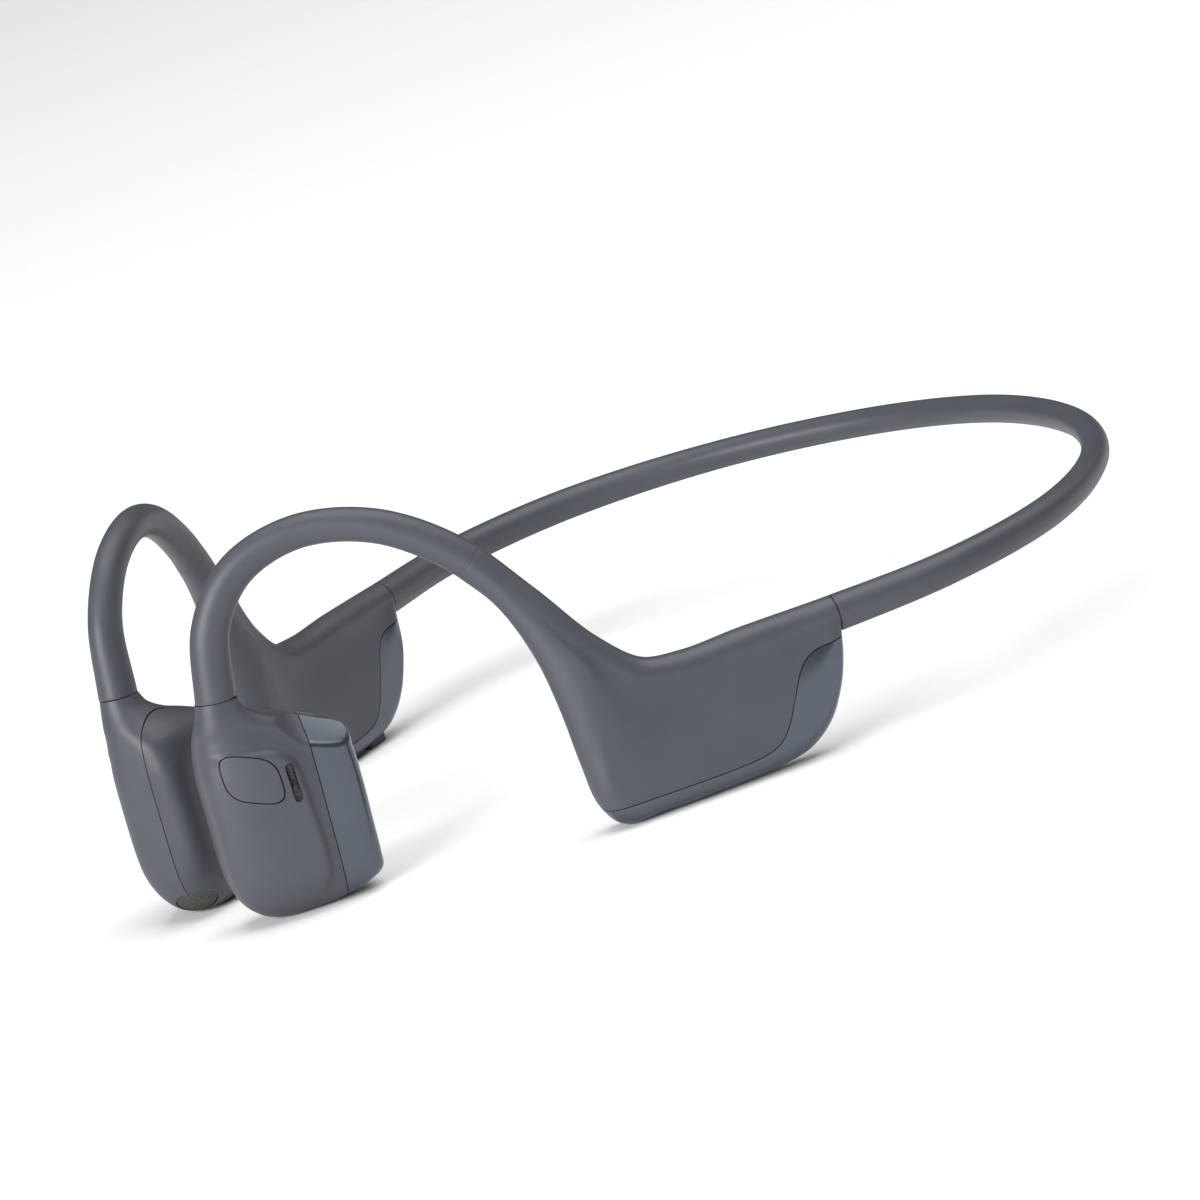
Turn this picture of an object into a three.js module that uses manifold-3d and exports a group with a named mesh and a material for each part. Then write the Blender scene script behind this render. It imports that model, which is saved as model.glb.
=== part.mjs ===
// Bone conduction headphones: a neckband, two ear hooks, two battery-pod housings and two
// transducer pods. Millimetres, +Z up, +Y the wearer's forward, +X the wearer's right.
// The right side is modelled; the left side is the same code in a group mirrored across X = 0.
import * as THREE from 'three';
import { mergeVertices } from 'three/addons/utils/BufferGeometryUtils.js';
import Module from 'manifold-3d';

const wasm = await Module();
wasm.setup();

// ---------------------------------------------------------------- driving dimensions
const SEAM_GAP = 0.25;        // hairline between neighbouring mouldings
const FINE_DETAIL = 0.012;    // surface detail below this is left out
const WALL = 1.0;             // moulded wall thickness
const BORE_RADIUS = 1.0;      // channel for the spring wire and the cable
const WIRE_RADIUS = 0.3;      // nickel-titanium spring wire
const CABLE_RADIUS = 0.28;    // signal cable beside it
const LANE_OFFSET = 0.42;     // wire above, cable below the channel's centre

// The spine: centre line of hook, housing top and neckband, from pod to rear centre.
const SPINE_POINTS = [
  [9.9, 59.2, 26.0], [10.7, 57.6, 34.2], [12.7, 53.6, 39.6], [16.8, 47.4, 41.9],
  [22.3, 40.7, 40.3], [27.2, 34.9, 35.1], [31.2, 30.4, 27.4], [34.3, 26.4, 20.1],
  [36.5, 22.0, 15.6], [38.6, 17.0, 14.7], [41.1, 10.1, 14.9], [44.7, 0, 14.9],
  [48.7, -13.9, 15.2], [46.9, -30.6, 15.6], [36.8, -46.3, 16.0], [19.7, -57.7, 16.3],
  [0, -61.6, 16.5], [-19.7, -57.7, 16.3],
];
// Half height and half width of the tube at the same points; the hook is slightly flat.
const HALF_HEIGHTS = [2.4, 2.2, 2.1, 1.95, 1.95, 2.05, 2.15, 2.2, 2.2, 2.15, 2.1, 2.05,
  1.9, 1.8, 1.65, 1.6, 1.6, 1.6];
const HALF_WIDTHS = [2.2, 1.85, 1.75, 1.75, 1.8, 1.85, 2.0, 2.05, 2.1, 2.1, 2.1, 2.0,
  1.85, 1.75, 1.65, 1.6, 1.6, 1.6];
const HOOK_START = 0;         // spine stations, counted in spine points
const HOUSING_START = 5.25;
const HOUSING_END = 11;
const BAND_END = 16;

// Housing frame: s runs forward from the neckband seam, z up, t outward.
const HOUSING_TOE_IN = THREE.MathUtils.degToRad(20.4);
const HOUSING_ORIGIN = [44.7, 0];
const HOUSING_HALF_WIDTH = 2.7;
const HOUSING_EDGE_ROUND = 2.4;
// Lower outline of the housing as [spine station, s, z]: front edge, bottom, rear edge.
// It starts on the underside of the tube, at HOUSING_START.
const HOUSING_EDGE = [
  [5.62, 36.4, 28.5], [6.0, 34.9, 25.0], [6.5, 33.7, 20.4], [7.0, 33.0, 14.5],
  [7.5, 32.6, 8.0], [8.0, 32.0, 3.2], [8.4, 30.0, 0.35],
  [9.0, 25.0, 0.15], [9.5, 18.0, 0.2], [10.0, 11.0, 0.5], [10.3, 7.0, 1.3],
  [10.53, 4.0, 3.4], [10.75, 1.9, 6.6], [10.9, 0.5, 10.2], [11.0, 0, 12.85],
];
// Seam between housing shell and J-shaped cover, as [s, z].
const COVER_SEAM = [
  [38, 2.6], [27, 2.5], [16, 2.5], [11.5, 3.1], [9.4, 4.8], [7.8, 7.6], [6.3, 10.3],
  [4.7, 11.8], [2.2, 12.4], [-6, 12.8],
];

// Pod frame: a runs forward, z up, b outward, from the hook's end.
const POD_TOE_IN = THREE.MathUtils.degToRad(24);
const POD_ORIGIN = [9.9, 59.2];
const POD_CENTRE_Z = 11;
const PAD_SPLIT = -3.65;      // b of the seam between shell and skin pad
// Seam between shell and rear cap, as [a, z]; it leans forward as it goes down.
const CAP_SEAM = [[-8.5, 24], [-7.7, -2]];
// A box larger than the pod, for cutting it.
const POD_BOX = { rear: -20, front: 10, low: -5, high: 30, inner: -12, outer: 8 };
const PAD_FLAT = -7.3;        // b of the flat that lies on the skin
// Pod sections from the hook down: front [a, z], rear [a, z], outer b, inner b, squareness.
const POD_SECTIONS = [
  [2.4, 26.1, -2.4, 25.15, 2.2, -2.2, 2.0], [2.9, 24.8, -3.2, 24.4, 2.4, -3.0, 2.1],
  [3.4, 23.3, -4.8, 23.35, 2.6, -4.2, 2.3], [3.7, 22.2, -7.3, 22.25, 2.7, -5.6, 2.6],
  [3.9, 21.1, -9.9, 20.95, 2.8, -6.6, 3.0], [4.1, 19.6, -12.5, 18.9, 2.8, -7.2, 3.4],
  [4.3, 17.4, -13.35, 16.3, 2.8, -7.5, 3.8], [4.4, 13.0, -13.2, 12.5, 2.8, -7.6, 4.0],
  [4.5, 8.5, -13.0, 8.0, 2.7, -7.5, 4.0], [4.4, 5.8, -12.85, 4.2, 2.5, -7.2, 3.6],
  [3.8, 3.4, -12.6, 2.3, 2.0, -6.7, 3.0], [2.6, 1.6, -10.9, 1.2, 1.2, -5.9, 2.6],
  [0.9, 0.5, -8.1, 0.45, 0.2, -4.8, 2.4], [-1.2, 0.0, -5.2, 0.0, -1.2, -3.6, 2.2],
];
const GRILLE_CENTRE = { a: 1.95, z: 2.0, b: -3.4 };
const GRILLE_TILT = THREE.MathUtils.degToRad(38);   // below the horizontal, facing forward
const GRILLE_HALF = { wide: 2.25, tall: 2.0 };
const GRILLE_REACH = 2.5;     // the plug runs this far either way from the grille's centre
const GRILLE_CLEARANCE = 0.2;

// Controls
const BUTTON_CENTRE = { a: -0.93, z: 17.1 };
const BUTTON_HALF = { wide: 3.05, tall: 2.7 };
const BUTTON_BACK = 1.5;      // b of its inner face
const BUTTON_CLEARANCE = 0.22;
const BUTTON_SKEW = 0.38;     // rise towards the front
const BUTTON_FACE = 2.85;     // b of its outer face, just proud of the shell
const SLOT_TOP = [-5.25, 17.2];
const SLOT_BOTTOM = [-5.3, 13.6];
const SLOT_HALF_WIDTH = 0.5;
const SLOT_CLEARANCE = 0.1;
const SLOT_MESH = [1.9, 2.4];  // b of the mesh across the slot
const VOLUME_KEYS = [{ name: 'volume_up', s: 13.9 }, { name: 'volume_down', s: 9.3 }];
const VOLUME_HALF = { long: 1.9, wide: 0.8 };
const KEY_FACE_Z = 0.05;      // the keys' lower face
const KEY_DEPTH = 1.8;
const KEY_WELL_DEPTH = 3.6;   // right through the cover, to leave room for the press
const KEY_CLEARANCE = 0.2;
const PORT_S = 22.5;          // charging socket, under the right housing
const PORT_HALF = { long: 4.3, wide: 1.35 };
const PORT_CLEARANCE = 0.1;
const PORT_DEPTH = 4.4;
const PORT_FACE_Z = 0.2;      // its mouth, just inside the cover's face
const PORT_WALL = 0.35;
const PORT_MOUTH_CUT = 6;     // the cover is cut this tall for it

// Inner parts as boxes: extent forward, up and outward in their frame.
const HOUSING_BOXES_RIGHT = {
  main_board: [[5.2, 17.5], [5.4, 11.8], [-0.4, 0.2]],
  board_shield: [[7, 14], [6, 11.5], [0.3, 1.3]],
  battery_right: [[18.4, 27.4], [5.4, 9.8], [-1.2, 1.2]],
  charging_tongue: [[PORT_S - 3, PORT_S + 3], [0.9, 3.6], [-0.35, 0.35]],
};
const HOUSING_BOXES_LEFT = {
  battery_left: [[10.6, 27.4], [4.2, 9.8], [-1.2, 1.2]],
  battery_board: [[5.6, 9.2], [6.4, 11.6], [-0.3, 0.3]],
};
const POD_BOXES_LEFT = {
  multifunction_switch: [[-2.4, 0.6], [15.6, 18.6], [0.1, 1.0]],
  mic_capsule: [[-6.4, -4.6], [13.6, 17], [0.1, 1.0]],
  pod_board: [[-7.4, 1.6], [12.6, 19], [-0.7, -0.1]],
};
const VOLUME_SWITCH = { halfLong: 1.2, z: [2.5, 3.4], t: [-1, 1] };
const BRACKET_BOX = [[-9.0, -0.2], [7.2, 15.8], [-6.0, -5.6]];
const DRIVER_CENTRE = [-4.6, 11.5];
const COIL = { radius: 4.6, hole: 3.5, from: -5.4, to: -3.8 };
const MAGNET = { radius: 3.2, from: -5.4, to: -2.6 };
const AIR_SPEAKER = { centre: [0.4, 6.3], radius: 1.9, from: -4.6, to: -3.0 };

// ---------------------------------------------------------------- materials
function finish(color, roughness, metalness) {
  return () => new THREE.MeshStandardMaterial({ color, roughness, metalness });
}
const softTouch = finish(0x4b4e55, 0.6, 0);
const satinCover = finish(0x434853, 0.35, 0.6);
const keyPlastic = finish(0x4f5259, 0.5, 0);
const steel = finish(0xb5b8bc, 0.3, 1);
const meshCloth = finish(0x55524c, 0.8, 0.2);
const copper = finish(0xa9683c, 0.35, 1);
const board = finish(0x1f4a33, 0.6, 0);
const cellFoil = finish(0x9ba0a6, 0.4, 0.7);
const cableJacket = finish(0x1b1c1e, 0.7, 0);

// ---------------------------------------------------------------- solids
function toSolid(geometry) {
  const bare = geometry.clone();
  bare.deleteAttribute('normal');
  bare.deleteAttribute('uv');
  const merged = mergeVertices(bare, 1e-4);
  return new wasm.Manifold(new wasm.Mesh({
    numProp: 3,
    vertProperties: new Float32Array(merged.attributes.position.array),
    triVerts: new Uint32Array(merged.index.array),
  }));
}

function toGeometry(solid) {
  const mesh = solid.getMesh();
  const geometry = new THREE.BufferGeometry();
  geometry.setAttribute('position', new THREE.BufferAttribute(mesh.vertProperties, 3));
  geometry.setIndex(new THREE.BufferAttribute(mesh.triVerts, 1));
  geometry.computeVertexNormals();
  return geometry;
}

// A closed skin over rings of equal point count, with a fan on each end ring.
function loft(rings) {
  const count = rings[0].length;
  const positions = rings.flat().flatMap((point) => point.toArray());
  const index = [];
  for (let row = 0; row + 1 < rings.length; row += 1) {
    for (let column = 0; column < count; column += 1) {
      const next = (column + 1) % count;
      const a = row * count + column;
      const b = row * count + next;
      index.push(a, b, b + count, a, b + count, a + count);
    }
  }
  for (const [row, flip] of [[0, true], [rings.length - 1, false]]) {
    const centre = new THREE.Vector3();
    rings[row].forEach((point) => centre.addScaledVector(point, 1 / count));
    const centreIndex = positions.length / 3;
    positions.push(...centre.toArray());
    for (let column = 0; column < count; column += 1) {
      const a = row * count + column;
      const b = row * count + ((column + 1) % count);
      index.push(...(flip ? [centreIndex, b, a] : [centreIndex, a, b]));
    }
  }
  const geometry = new THREE.BufferGeometry();
  geometry.setAttribute('position', new THREE.Float32BufferAttribute(positions, 3));
  geometry.setIndex(index);
  const solid = toSolid(geometry);
  return solid.volume() < 0 ? toSolid(flipped(geometry)) : solid;
}

function flipped(geometry) {
  const index = Array.from(geometry.index.array);
  for (let i = 0; i < index.length; i += 3) {
    [index[i], index[i + 1]] = [index[i + 1], index[i]];
  }
  geometry.setIndex(index);
  return geometry;
}

// ---------------------------------------------------------------- frames
// Local X is forward with toe-in, local Y is up, local Z is outward.
function sideFrame([x, y], toeIn) {
  const forward = new THREE.Vector3(-Math.sin(toeIn), Math.cos(toeIn), 0);
  const up = new THREE.Vector3(0, 0, 1);
  const outward = new THREE.Vector3(Math.cos(toeIn), Math.sin(toeIn), 0);
  return new THREE.Matrix4().makeBasis(forward, up, outward).setPosition(x, y, 0);
}
const housingFrame = sideFrame(HOUSING_ORIGIN, HOUSING_TOE_IN);
const podFrame = sideFrame(POD_ORIGIN, POD_TOE_IN);
const inFrame = (frame, x, y, z) => new THREE.Vector3(x, y, z).applyMatrix4(frame);

// A shape drawn in a frame's side view, extruded between two outward depths.
function prism(frame, shape, from, to) {
  const geometry = new THREE.ExtrudeGeometry(shape, {
    depth: to - from, bevelEnabled: false, curveSegments: 8, steps: 1,
  });
  return toSolid(geometry.translate(0, 0, from).applyMatrix4(frame));
}

function block(frame, [x0, x1], [y0, y1], [z0, z1]) {
  const geometry = new THREE.BoxGeometry(x1 - x0, y1 - y0, z1 - z0);
  geometry.translate((x0 + x1) / 2, (y0 + y1) / 2, (z0 + z1) / 2);
  return toSolid(geometry.applyMatrix4(frame));
}

// A disc or ring lying in the side view, between two outward depths.
function disc(frame, [x, y], radius, from, to, hole = 0) {
  const shape = new THREE.Shape().absarc(x, y, radius, 0, Math.PI * 2);
  if (hole > 0) shape.holes.push(new THREE.Path().absarc(x, y, hole, 0, Math.PI * 2, true));
  return prism(frame, shape, from, to);
}

function polygonShape(points) {
  return new THREE.Shape(points.map(([x, y]) => new THREE.Vector2(x, y)));
}

// A stadium between two points of the side view.
function stadiumShape([x0, y0], [x1, y1], halfWidth) {
  const angle = Math.atan2(y1 - y0, x1 - x0);
  const shape = new THREE.Shape();
  shape.absarc(x1, y1, halfWidth, angle - Math.PI / 2, angle + Math.PI / 2);
  shape.absarc(x0, y0, halfWidth, angle + Math.PI / 2, angle + Math.PI * 1.5);
  return shape;
}

// ---------------------------------------------------------------- spine
const spine = new THREE.CatmullRomCurve3(SPINE_POINTS.map((p) => new THREE.Vector3(...p)));
const spineSpan = SPINE_POINTS.length - 1;
const spineAt = (station) => spine.getPoint(station / spineSpan);
const spineTangent = (station) => spine.getTangent(station / spineSpan);

function valueAt(list, station) {
  const low = Math.min(Math.floor(station), list.length - 2);
  return THREE.MathUtils.lerp(list[low], list[low + 1], station - low);
}
const halfHeightAt = (station) => valueAt(HALF_HEIGHTS, station);
const halfWidthAt = (station) => valueAt(HALF_WIDTHS, station);

// Outward and upper-side directions across the spine at a station.
function spineAxes(station) {
  const tangent = spineTangent(station);
  const outward = new THREE.Vector3(-tangent.y, tangent.x, 0);
  if (station < HOUSING_END) outward.setFromMatrixColumn(housingFrame, 2);
  outward.addScaledVector(tangent, -outward.dot(tangent)).normalize();
  const above = new THREE.Vector3().crossVectors(tangent, outward).normalize();
  return { tangent, outward, above };
}

function range(start, end, steps) {
  return Array.from({ length: steps + 1 }, (_, i) => start + ((end - start) * i) / steps);
}

// A tube along the spine between two stations, with its half height and half width
// given by functions of the station, lifted off the centre line towards the upper side.
function spineTube(start, end, steps, sides, halfHeight, halfWidth, lift = 0) {
  return loft(range(start, end, steps).map((station) => {
    const { outward, above } = spineAxes(station);
    const centre = spineAt(station).addScaledVector(above, lift);
    return range(0, Math.PI * 2, sides).slice(0, -1).map((angle) => centre.clone()
      .addScaledVector(outward, halfWidth(station) * Math.cos(angle))
      .addScaledVector(above, halfHeight(station) * Math.sin(angle)));
  }));
}

// Neckband section: round above, two flats below that lean in to a narrow keel.
function bandTube(start, end, steps) {
  const outline = [...range(-0.35, Math.PI + 0.35, 9).map((a) => [Math.cos(a), Math.sin(a)]),
    [-0.45, -1], [0.45, -1]];
  return loft(range(start, end, steps).map((station) => {
    const { outward, above } = spineAxes(station);
    const side = outward.clone().setZ(0).normalize();
    return outline.map(([x, y]) => spineAt(station)
      .addScaledVector(side, halfWidthAt(station) * x)
      .addScaledVector(above, halfHeightAt(station) * y));
  }));
}

// ---------------------------------------------------------------- housing
const toHousing = housingFrame.clone().invert();
const underside = spineAt(HOUSING_START)
  .addScaledVector(spineAxes(HOUSING_START).above, -halfHeightAt(HOUSING_START))
  .applyMatrix4(toHousing);
const edgeCurve = new THREE.CatmullRomCurve3([
  new THREE.Vector3(HOUSING_START, underside.x, underside.y),
  ...HOUSING_EDGE.map((point) => new THREE.Vector3(...point)),
]);

// Ring at one place along the housing: round over the spine, flat down both sides and
// rounded round the lower outline. inset shrinks it to the cavity inside the wall.
function housingRing(place, inset) {
  const edge = edgeCurve.getPoint(place);
  const top = spineAt(edge.x);
  const bottom = inFrame(housingFrame, edge.y, edge.z, top.clone().applyMatrix4(toHousing).z);
  const { tangent, outward, above } = spineAxes(edge.x);
  const down = bottom.clone().sub(top);
  const reach = Math.max(down.length(), 0.1);
  down.normalize();
  const across = new THREE.Vector3().crossVectors(tangent, down).normalize();
  if (across.dot(outward) < 0) across.negate();
  const height = halfHeightAt(edge.x);
  const width = halfWidthAt(edge.x);
  const grown = THREE.MathUtils.smoothstep(reach - height, 0, 6);
  const half = THREE.MathUtils.lerp(width, HOUSING_HALF_WIDTH, grown) - inset;
  const round = Math.min(THREE.MathUtils.lerp(height, HOUSING_EDGE_ROUND, grown), reach) - inset;
  const straight = Math.max(reach - inset - round, 0);
  const crown = width - inset;
  const side = (sign) => [
    ...[0.33, 0.66].map((part) => [straight * part,
      THREE.MathUtils.lerp(crown, half, THREE.MathUtils.smoothstep(part, 0, 0.66))]),
    ...range(0, Math.PI / 2, 4).slice(0, -1).map((angle) => [
      straight + round * Math.sin(angle), half * Math.cos(angle)]),
  ].map(([depth, width]) => top.clone().addScaledVector(down, depth)
    .addScaledVector(across, sign * width));
  const arch = range(0, Math.PI, 6).map((angle) => top.clone()
    .addScaledVector(above, (height - inset) * Math.sin(angle))
    .addScaledVector(across, -crown * Math.cos(angle)));
  const tip = top.clone().addScaledVector(down, straight + round);
  return [...arch, ...side(1), tip, ...side(-1).reverse()];
}

function housingSolid(inset, overrun, steps) {
  const rings = range(0, 1, steps).map((place) => housingRing(place, inset));
  if (overrun > 0) {
    const ends = [[rings[0], spineTangent(HOUSING_START), -overrun],
      [rings[rings.length - 1], spineTangent(HOUSING_END), overrun]];
    const moved = ends.map(([ring, tangent, by]) => ring.map(
      (point) => point.clone().addScaledVector(tangent, by)));
    rings.unshift(moved[0]);
    rings.push(moved[1]);
  }
  return loft(rings);
}

// Everything below and behind the cover seam, raised by an offset.
function coverRegion(offset) {
  const curve = new THREE.SplineCurve(COVER_SEAM.map(([s, z]) => new THREE.Vector2(s, z)));
  const seam = range(0, 1, 20).map((place) => {
    const point = curve.getPoint(place);
    const tangent = curve.getTangent(place);
    return [point.x + tangent.y * offset, point.y - tangent.x * offset];
  });
  return prism(housingFrame, polygonShape([...seam, [-6, -6], [38, -6]]), -9, 9);
}

// ---------------------------------------------------------------- pod
function podRing(section, inset, lift, sides = 20) {
  const [frontA, frontZ, rearA, rearZ, outerB, innerB, square] = section;
  const halfA = (frontA - rearA) / 2 - inset;
  const halfB = (outerB - innerB) / 2 - inset;
  const power = 2 / square;
  return range(0, Math.PI * 2, sides).slice(0, -1).map((angle) => {
    const u = Math.sign(Math.cos(angle)) * Math.abs(Math.cos(angle)) ** power;
    const v = Math.sign(Math.sin(angle)) * Math.abs(Math.sin(angle)) ** power;
    const a = (frontA + rearA) / 2 + halfA * u;
    const z = (frontZ + rearZ) / 2 + ((frontZ - rearZ) / 2) * u + lift;
    const b = Math.max((outerB + innerB) / 2 + halfB * v, PAD_FLAT + inset);
    return inFrame(podFrame, a, z, b);
  });
}

function podSolid() {
  return loft(POD_SECTIONS.map((section) => podRing(section, 0, 0)));
}

// The cavity follows the pod inside its wall and runs out through the neck at the top.
function podCavity() {
  const neck = podRing([2.35, 27.4, -2.35, 26.4, 2.35, -2.35, 2], 2.35 - BORE_RADIUS, 0);
  const rings = POD_SECTIONS.slice(0, -1).map((section, row) => {
    const inset = row === 0 ? 2.35 - BORE_RADIUS : WALL;
    const rise = Math.max(0, (POD_CENTRE_Z - section[1]) / POD_CENTRE_Z);
    return podRing(section, inset, rise * WALL * 1.1);
  });
  return loft([neck, ...rings]);
}

// Everything behind the cap seam, moved forward by an offset.
function capRegion(offset) {
  const [top, low] = CAP_SEAM.map(([a, z]) => [a + offset, z]);
  return prism(podFrame, polygonShape([top, [POD_BOX.rear, top[1]], [POD_BOX.rear, low[1]], low]),
    PAD_SPLIT, POD_BOX.outer);
}

function buttonShape(grow) {
  const { wide, tall } = BUTTON_HALF;
  return polygonShape(range(0, Math.PI * 2, 28).slice(0, -1).map((angle) => {
    const u = Math.sign(Math.cos(angle)) * Math.abs(Math.cos(angle)) ** 0.5;
    const v = Math.sign(Math.sin(angle)) * Math.abs(Math.sin(angle)) ** 0.5;
    const a = (wide + grow) * u;
    return [BUTTON_CENTRE.a + a, BUTTON_CENTRE.z + (tall + grow) * v + BUTTON_SKEW * a];
  }));
}

// A short elliptical plug at the grille, shrunk or grown, along the grille's own axis.
function grillePlug(grow) {
  const shape = new THREE.Shape().absellipse(0, 0, GRILLE_HALF.tall + grow,
    GRILLE_HALF.wide + grow, 0, Math.PI * 2);
  const geometry = new THREE.ExtrudeGeometry(shape, {
    depth: 2 * GRILLE_REACH, bevelEnabled: false, curveSegments: 10, steps: 1,
  });
  geometry.translate(0, 0, -GRILLE_REACH).rotateY(Math.PI / 2);
  const turn = new THREE.Matrix4().makeRotationZ(-GRILLE_TILT);
  turn.setPosition(GRILLE_CENTRE.a, GRILLE_CENTRE.z, GRILLE_CENTRE.b);
  geometry.rotateX(Math.PI / 2);
  return toSolid(geometry.applyMatrix4(turn).applyMatrix4(podFrame));
}

// ---------------------------------------------------------------- assembly
function named(name, solid, material) {
  const mesh = new THREE.Mesh(toGeometry(solid.simplify(FINE_DETAIL)), material());
  mesh.name = name;
  return mesh;
}

function buildSide(side) {
  const left = side === 'left';
  const group = new THREE.Group();
  const add = (name, solid, material) => group.add(named(`${name}_${side}`, solid, material));

  // Neckband: soft sleeve, spring wire and cable. It stops just short of the rear centre.
  const bandStart = HOUSING_END + 0.025;
  const bandEnd = BAND_END - 0.008;
  const bore = () => BORE_RADIUS;
  const wire = () => WIRE_RADIUS;
  const cable = () => CABLE_RADIUS;
  const band = bandTube(bandStart, bandEnd, 20);
  const bandBore = spineTube(bandStart - 0.1, BAND_END + 0.1, 20, 8, bore, bore);
  add('neckband_sleeve', band.subtract(bandBore), softTouch);
  add('neckband_wire', spineTube(10.5, bandEnd, 20, 6, wire, wire, LANE_OFFSET), steel);
  add('neckband_cable', spineTube(10.5, bandEnd, 20, 6, cable, cable, -LANE_OFFSET), cableJacket);

  // Ear hook: soft sleeve over the same wire and cable.
  const hookStart = HOOK_START + 0.01;
  const hookEnd = HOUSING_START - 0.04;
  const hook = spineTube(hookStart, hookEnd, 22, 12, halfHeightAt, halfWidthAt);
  const hookBore = spineTube(HOOK_START, hookEnd + 0.06, 22, 8, bore, bore);
  add('earhook_sleeve', hook.subtract(hookBore), softTouch);
  add('earhook_wire', spineTube(0.05, 5.6, 22, 6, wire, wire, LANE_OFFSET), steel);
  add('earhook_cable', spineTube(0.05, 5.6, 22, 6, cable, cable, -LANE_OFFSET), cableJacket);

  // Housing: one hollow form, parted along the J seam into shell and cover.
  const housing = housingSolid(0, 0, 26).subtract(housingSolid(WALL, 1.5, 16));
  const shell = housing.subtract(coverRegion(SEAM_GAP / 2));
  let cover = housing.intersect(coverRegion(-SEAM_GAP / 2));
  if (!left) {
    for (const { s } of VOLUME_KEYS) {
      cover = cover.subtract(keyWell(s, KEY_CLEARANCE, KEY_WELL_DEPTH));
    }
    cover = cover.subtract(portSolid(PORT_CLEARANCE, PORT_MOUTH_CUT, -1));
  }
  add('housing_shell', shell, softTouch);
  add('housing_cover', cover, satinCover);

  // Pod: one hollow form, parted into shell, rear cap and skin pad.
  const pod = podSolid().subtract(podCavity());
  const { rear, front, low, high, inner, outer } = POD_BOX;
  const outerSide = block(podFrame, [rear, front], [low, high], [PAD_SPLIT + SEAM_GAP / 2, outer]);
  const innerSide = block(podFrame, [rear, front], [low, high], [inner, PAD_SPLIT - SEAM_GAP / 2]);
  const grilleHole = grillePlug(GRILLE_CLEARANCE);
  let podShell = pod.intersect(outerSide).subtract(capRegion(SEAM_GAP / 2)).subtract(grilleHole);
  if (left) {
    const slot = stadiumShape(SLOT_TOP, SLOT_BOTTOM, SLOT_HALF_WIDTH + SLOT_CLEARANCE);
    podShell = podShell.subtract(prism(podFrame, buttonShape(BUTTON_CLEARANCE), 0, outer));
    podShell = podShell.subtract(prism(podFrame, slot, 0, outer));
  }
  add('pod_shell', podShell, softTouch);
  add('pod_cap', pod.intersect(outerSide).intersect(capRegion(-SEAM_GAP / 2)), satinCover);
  add('pod_pad', pod.intersect(innerSide).subtract(grilleHole), softTouch);
  add('pod_grille', pod.intersect(grillePlug(0)), meshCloth);

  // Bone conduction transducer behind the pad, air speaker behind the grille.
  add('transducer_bracket', block(podFrame, ...BRACKET_BOX), steel);
  add('transducer_coil', disc(podFrame, DRIVER_CENTRE, COIL.radius, COIL.from, COIL.to, COIL.hole),
    copper);
  add('transducer_magnet', disc(podFrame, DRIVER_CENTRE, MAGNET.radius, MAGNET.from, MAGNET.to),
    steel);
  add('air_speaker', disc(podFrame, AIR_SPEAKER.centre, AIR_SPEAKER.radius, AIR_SPEAKER.from,
    AIR_SPEAKER.to), cableJacket);
  return group;
}

// A volume key's well or plug through the underside, centred at s.
function keyWell(s, grow, depth = KEY_DEPTH) {
  const outline = stadiumShape([s - VOLUME_HALF.long + VOLUME_HALF.wide, 0],
    [s + VOLUME_HALF.long - VOLUME_HALF.wide, 0], VOLUME_HALF.wide + grow);
  const geometry = new THREE.ExtrudeGeometry(outline, {
    depth, bevelEnabled: false, curveSegments: 6, steps: 1,
  });
  geometry.rotateX(-Math.PI / 2).translate(0, KEY_FACE_Z, 0);
  return toSolid(geometry.applyMatrix4(housingFrame));
}

// The charging socket's rounded box, grown, standing from a given height.
function portSolid(grow, height, from) {
  const { long, wide } = PORT_HALF;
  const outline = stadiumShape([PORT_S - long + wide, 0], [PORT_S + long - wide, 0], wide + grow);
  const geometry = new THREE.ExtrudeGeometry(outline, {
    depth: height, bevelEnabled: false, curveSegments: 6, steps: 1,
  });
  geometry.rotateX(-Math.PI / 2).translate(0, from, 0);
  return toSolid(geometry.applyMatrix4(housingFrame));
}

const headphones = new THREE.Group();
headphones.name = 'bone_conduction_headphones';

const right = buildSide('right');
const leftSide = buildSide('left');
const mirrored = new THREE.Group();
mirrored.scale.x = -1;
mirrored.add(leftSide);

function addBoxes(group, frame, boxes, material) {
  for (const [name, extents] of Object.entries(boxes)) {
    group.add(named(name, block(frame, ...extents), material[name]));
  }
}

// Right housing: main board, its shield, battery, volume keys and charging socket.
addBoxes(right, housingFrame, HOUSING_BOXES_RIGHT, {
  main_board: board, board_shield: steel, battery_right: cellFoil, charging_tongue: cableJacket,
});
for (const { name, s } of VOLUME_KEYS) {
  const { halfLong, z, t } = VOLUME_SWITCH;
  right.add(named(`${name}_button`, keyWell(s, 0), keyPlastic));
  right.add(named(`${name}_switch`, block(housingFrame, [s - halfLong, s + halfLong], z, t), steel));
}
const socketInside = portSolid(-PORT_WALL, PORT_DEPTH - PORT_WALL, PORT_FACE_Z - SEAM_GAP);
right.add(named('charging_socket', portSolid(0, PORT_DEPTH, PORT_FACE_Z).subtract(socketInside),
  steel));

// Left housing: battery cell and its protection board.
addBoxes(leftSide, housingFrame, HOUSING_BOXES_LEFT, { battery_left: cellFoil, battery_board: board });

// Left pod: multifunction key over its switch, microphone behind its mesh, small board.
leftSide.add(named('multifunction_button',
  prism(podFrame, buttonShape(0), BUTTON_BACK, BUTTON_FACE), keyPlastic));
leftSide.add(named('mic_mesh',
  prism(podFrame, stadiumShape(SLOT_TOP, SLOT_BOTTOM, SLOT_HALF_WIDTH), ...SLOT_MESH), meshCloth));
addBoxes(leftSide, podFrame, POD_BOXES_LEFT, {
  multifunction_switch: steel, mic_capsule: steel, pod_board: board,
});

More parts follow.
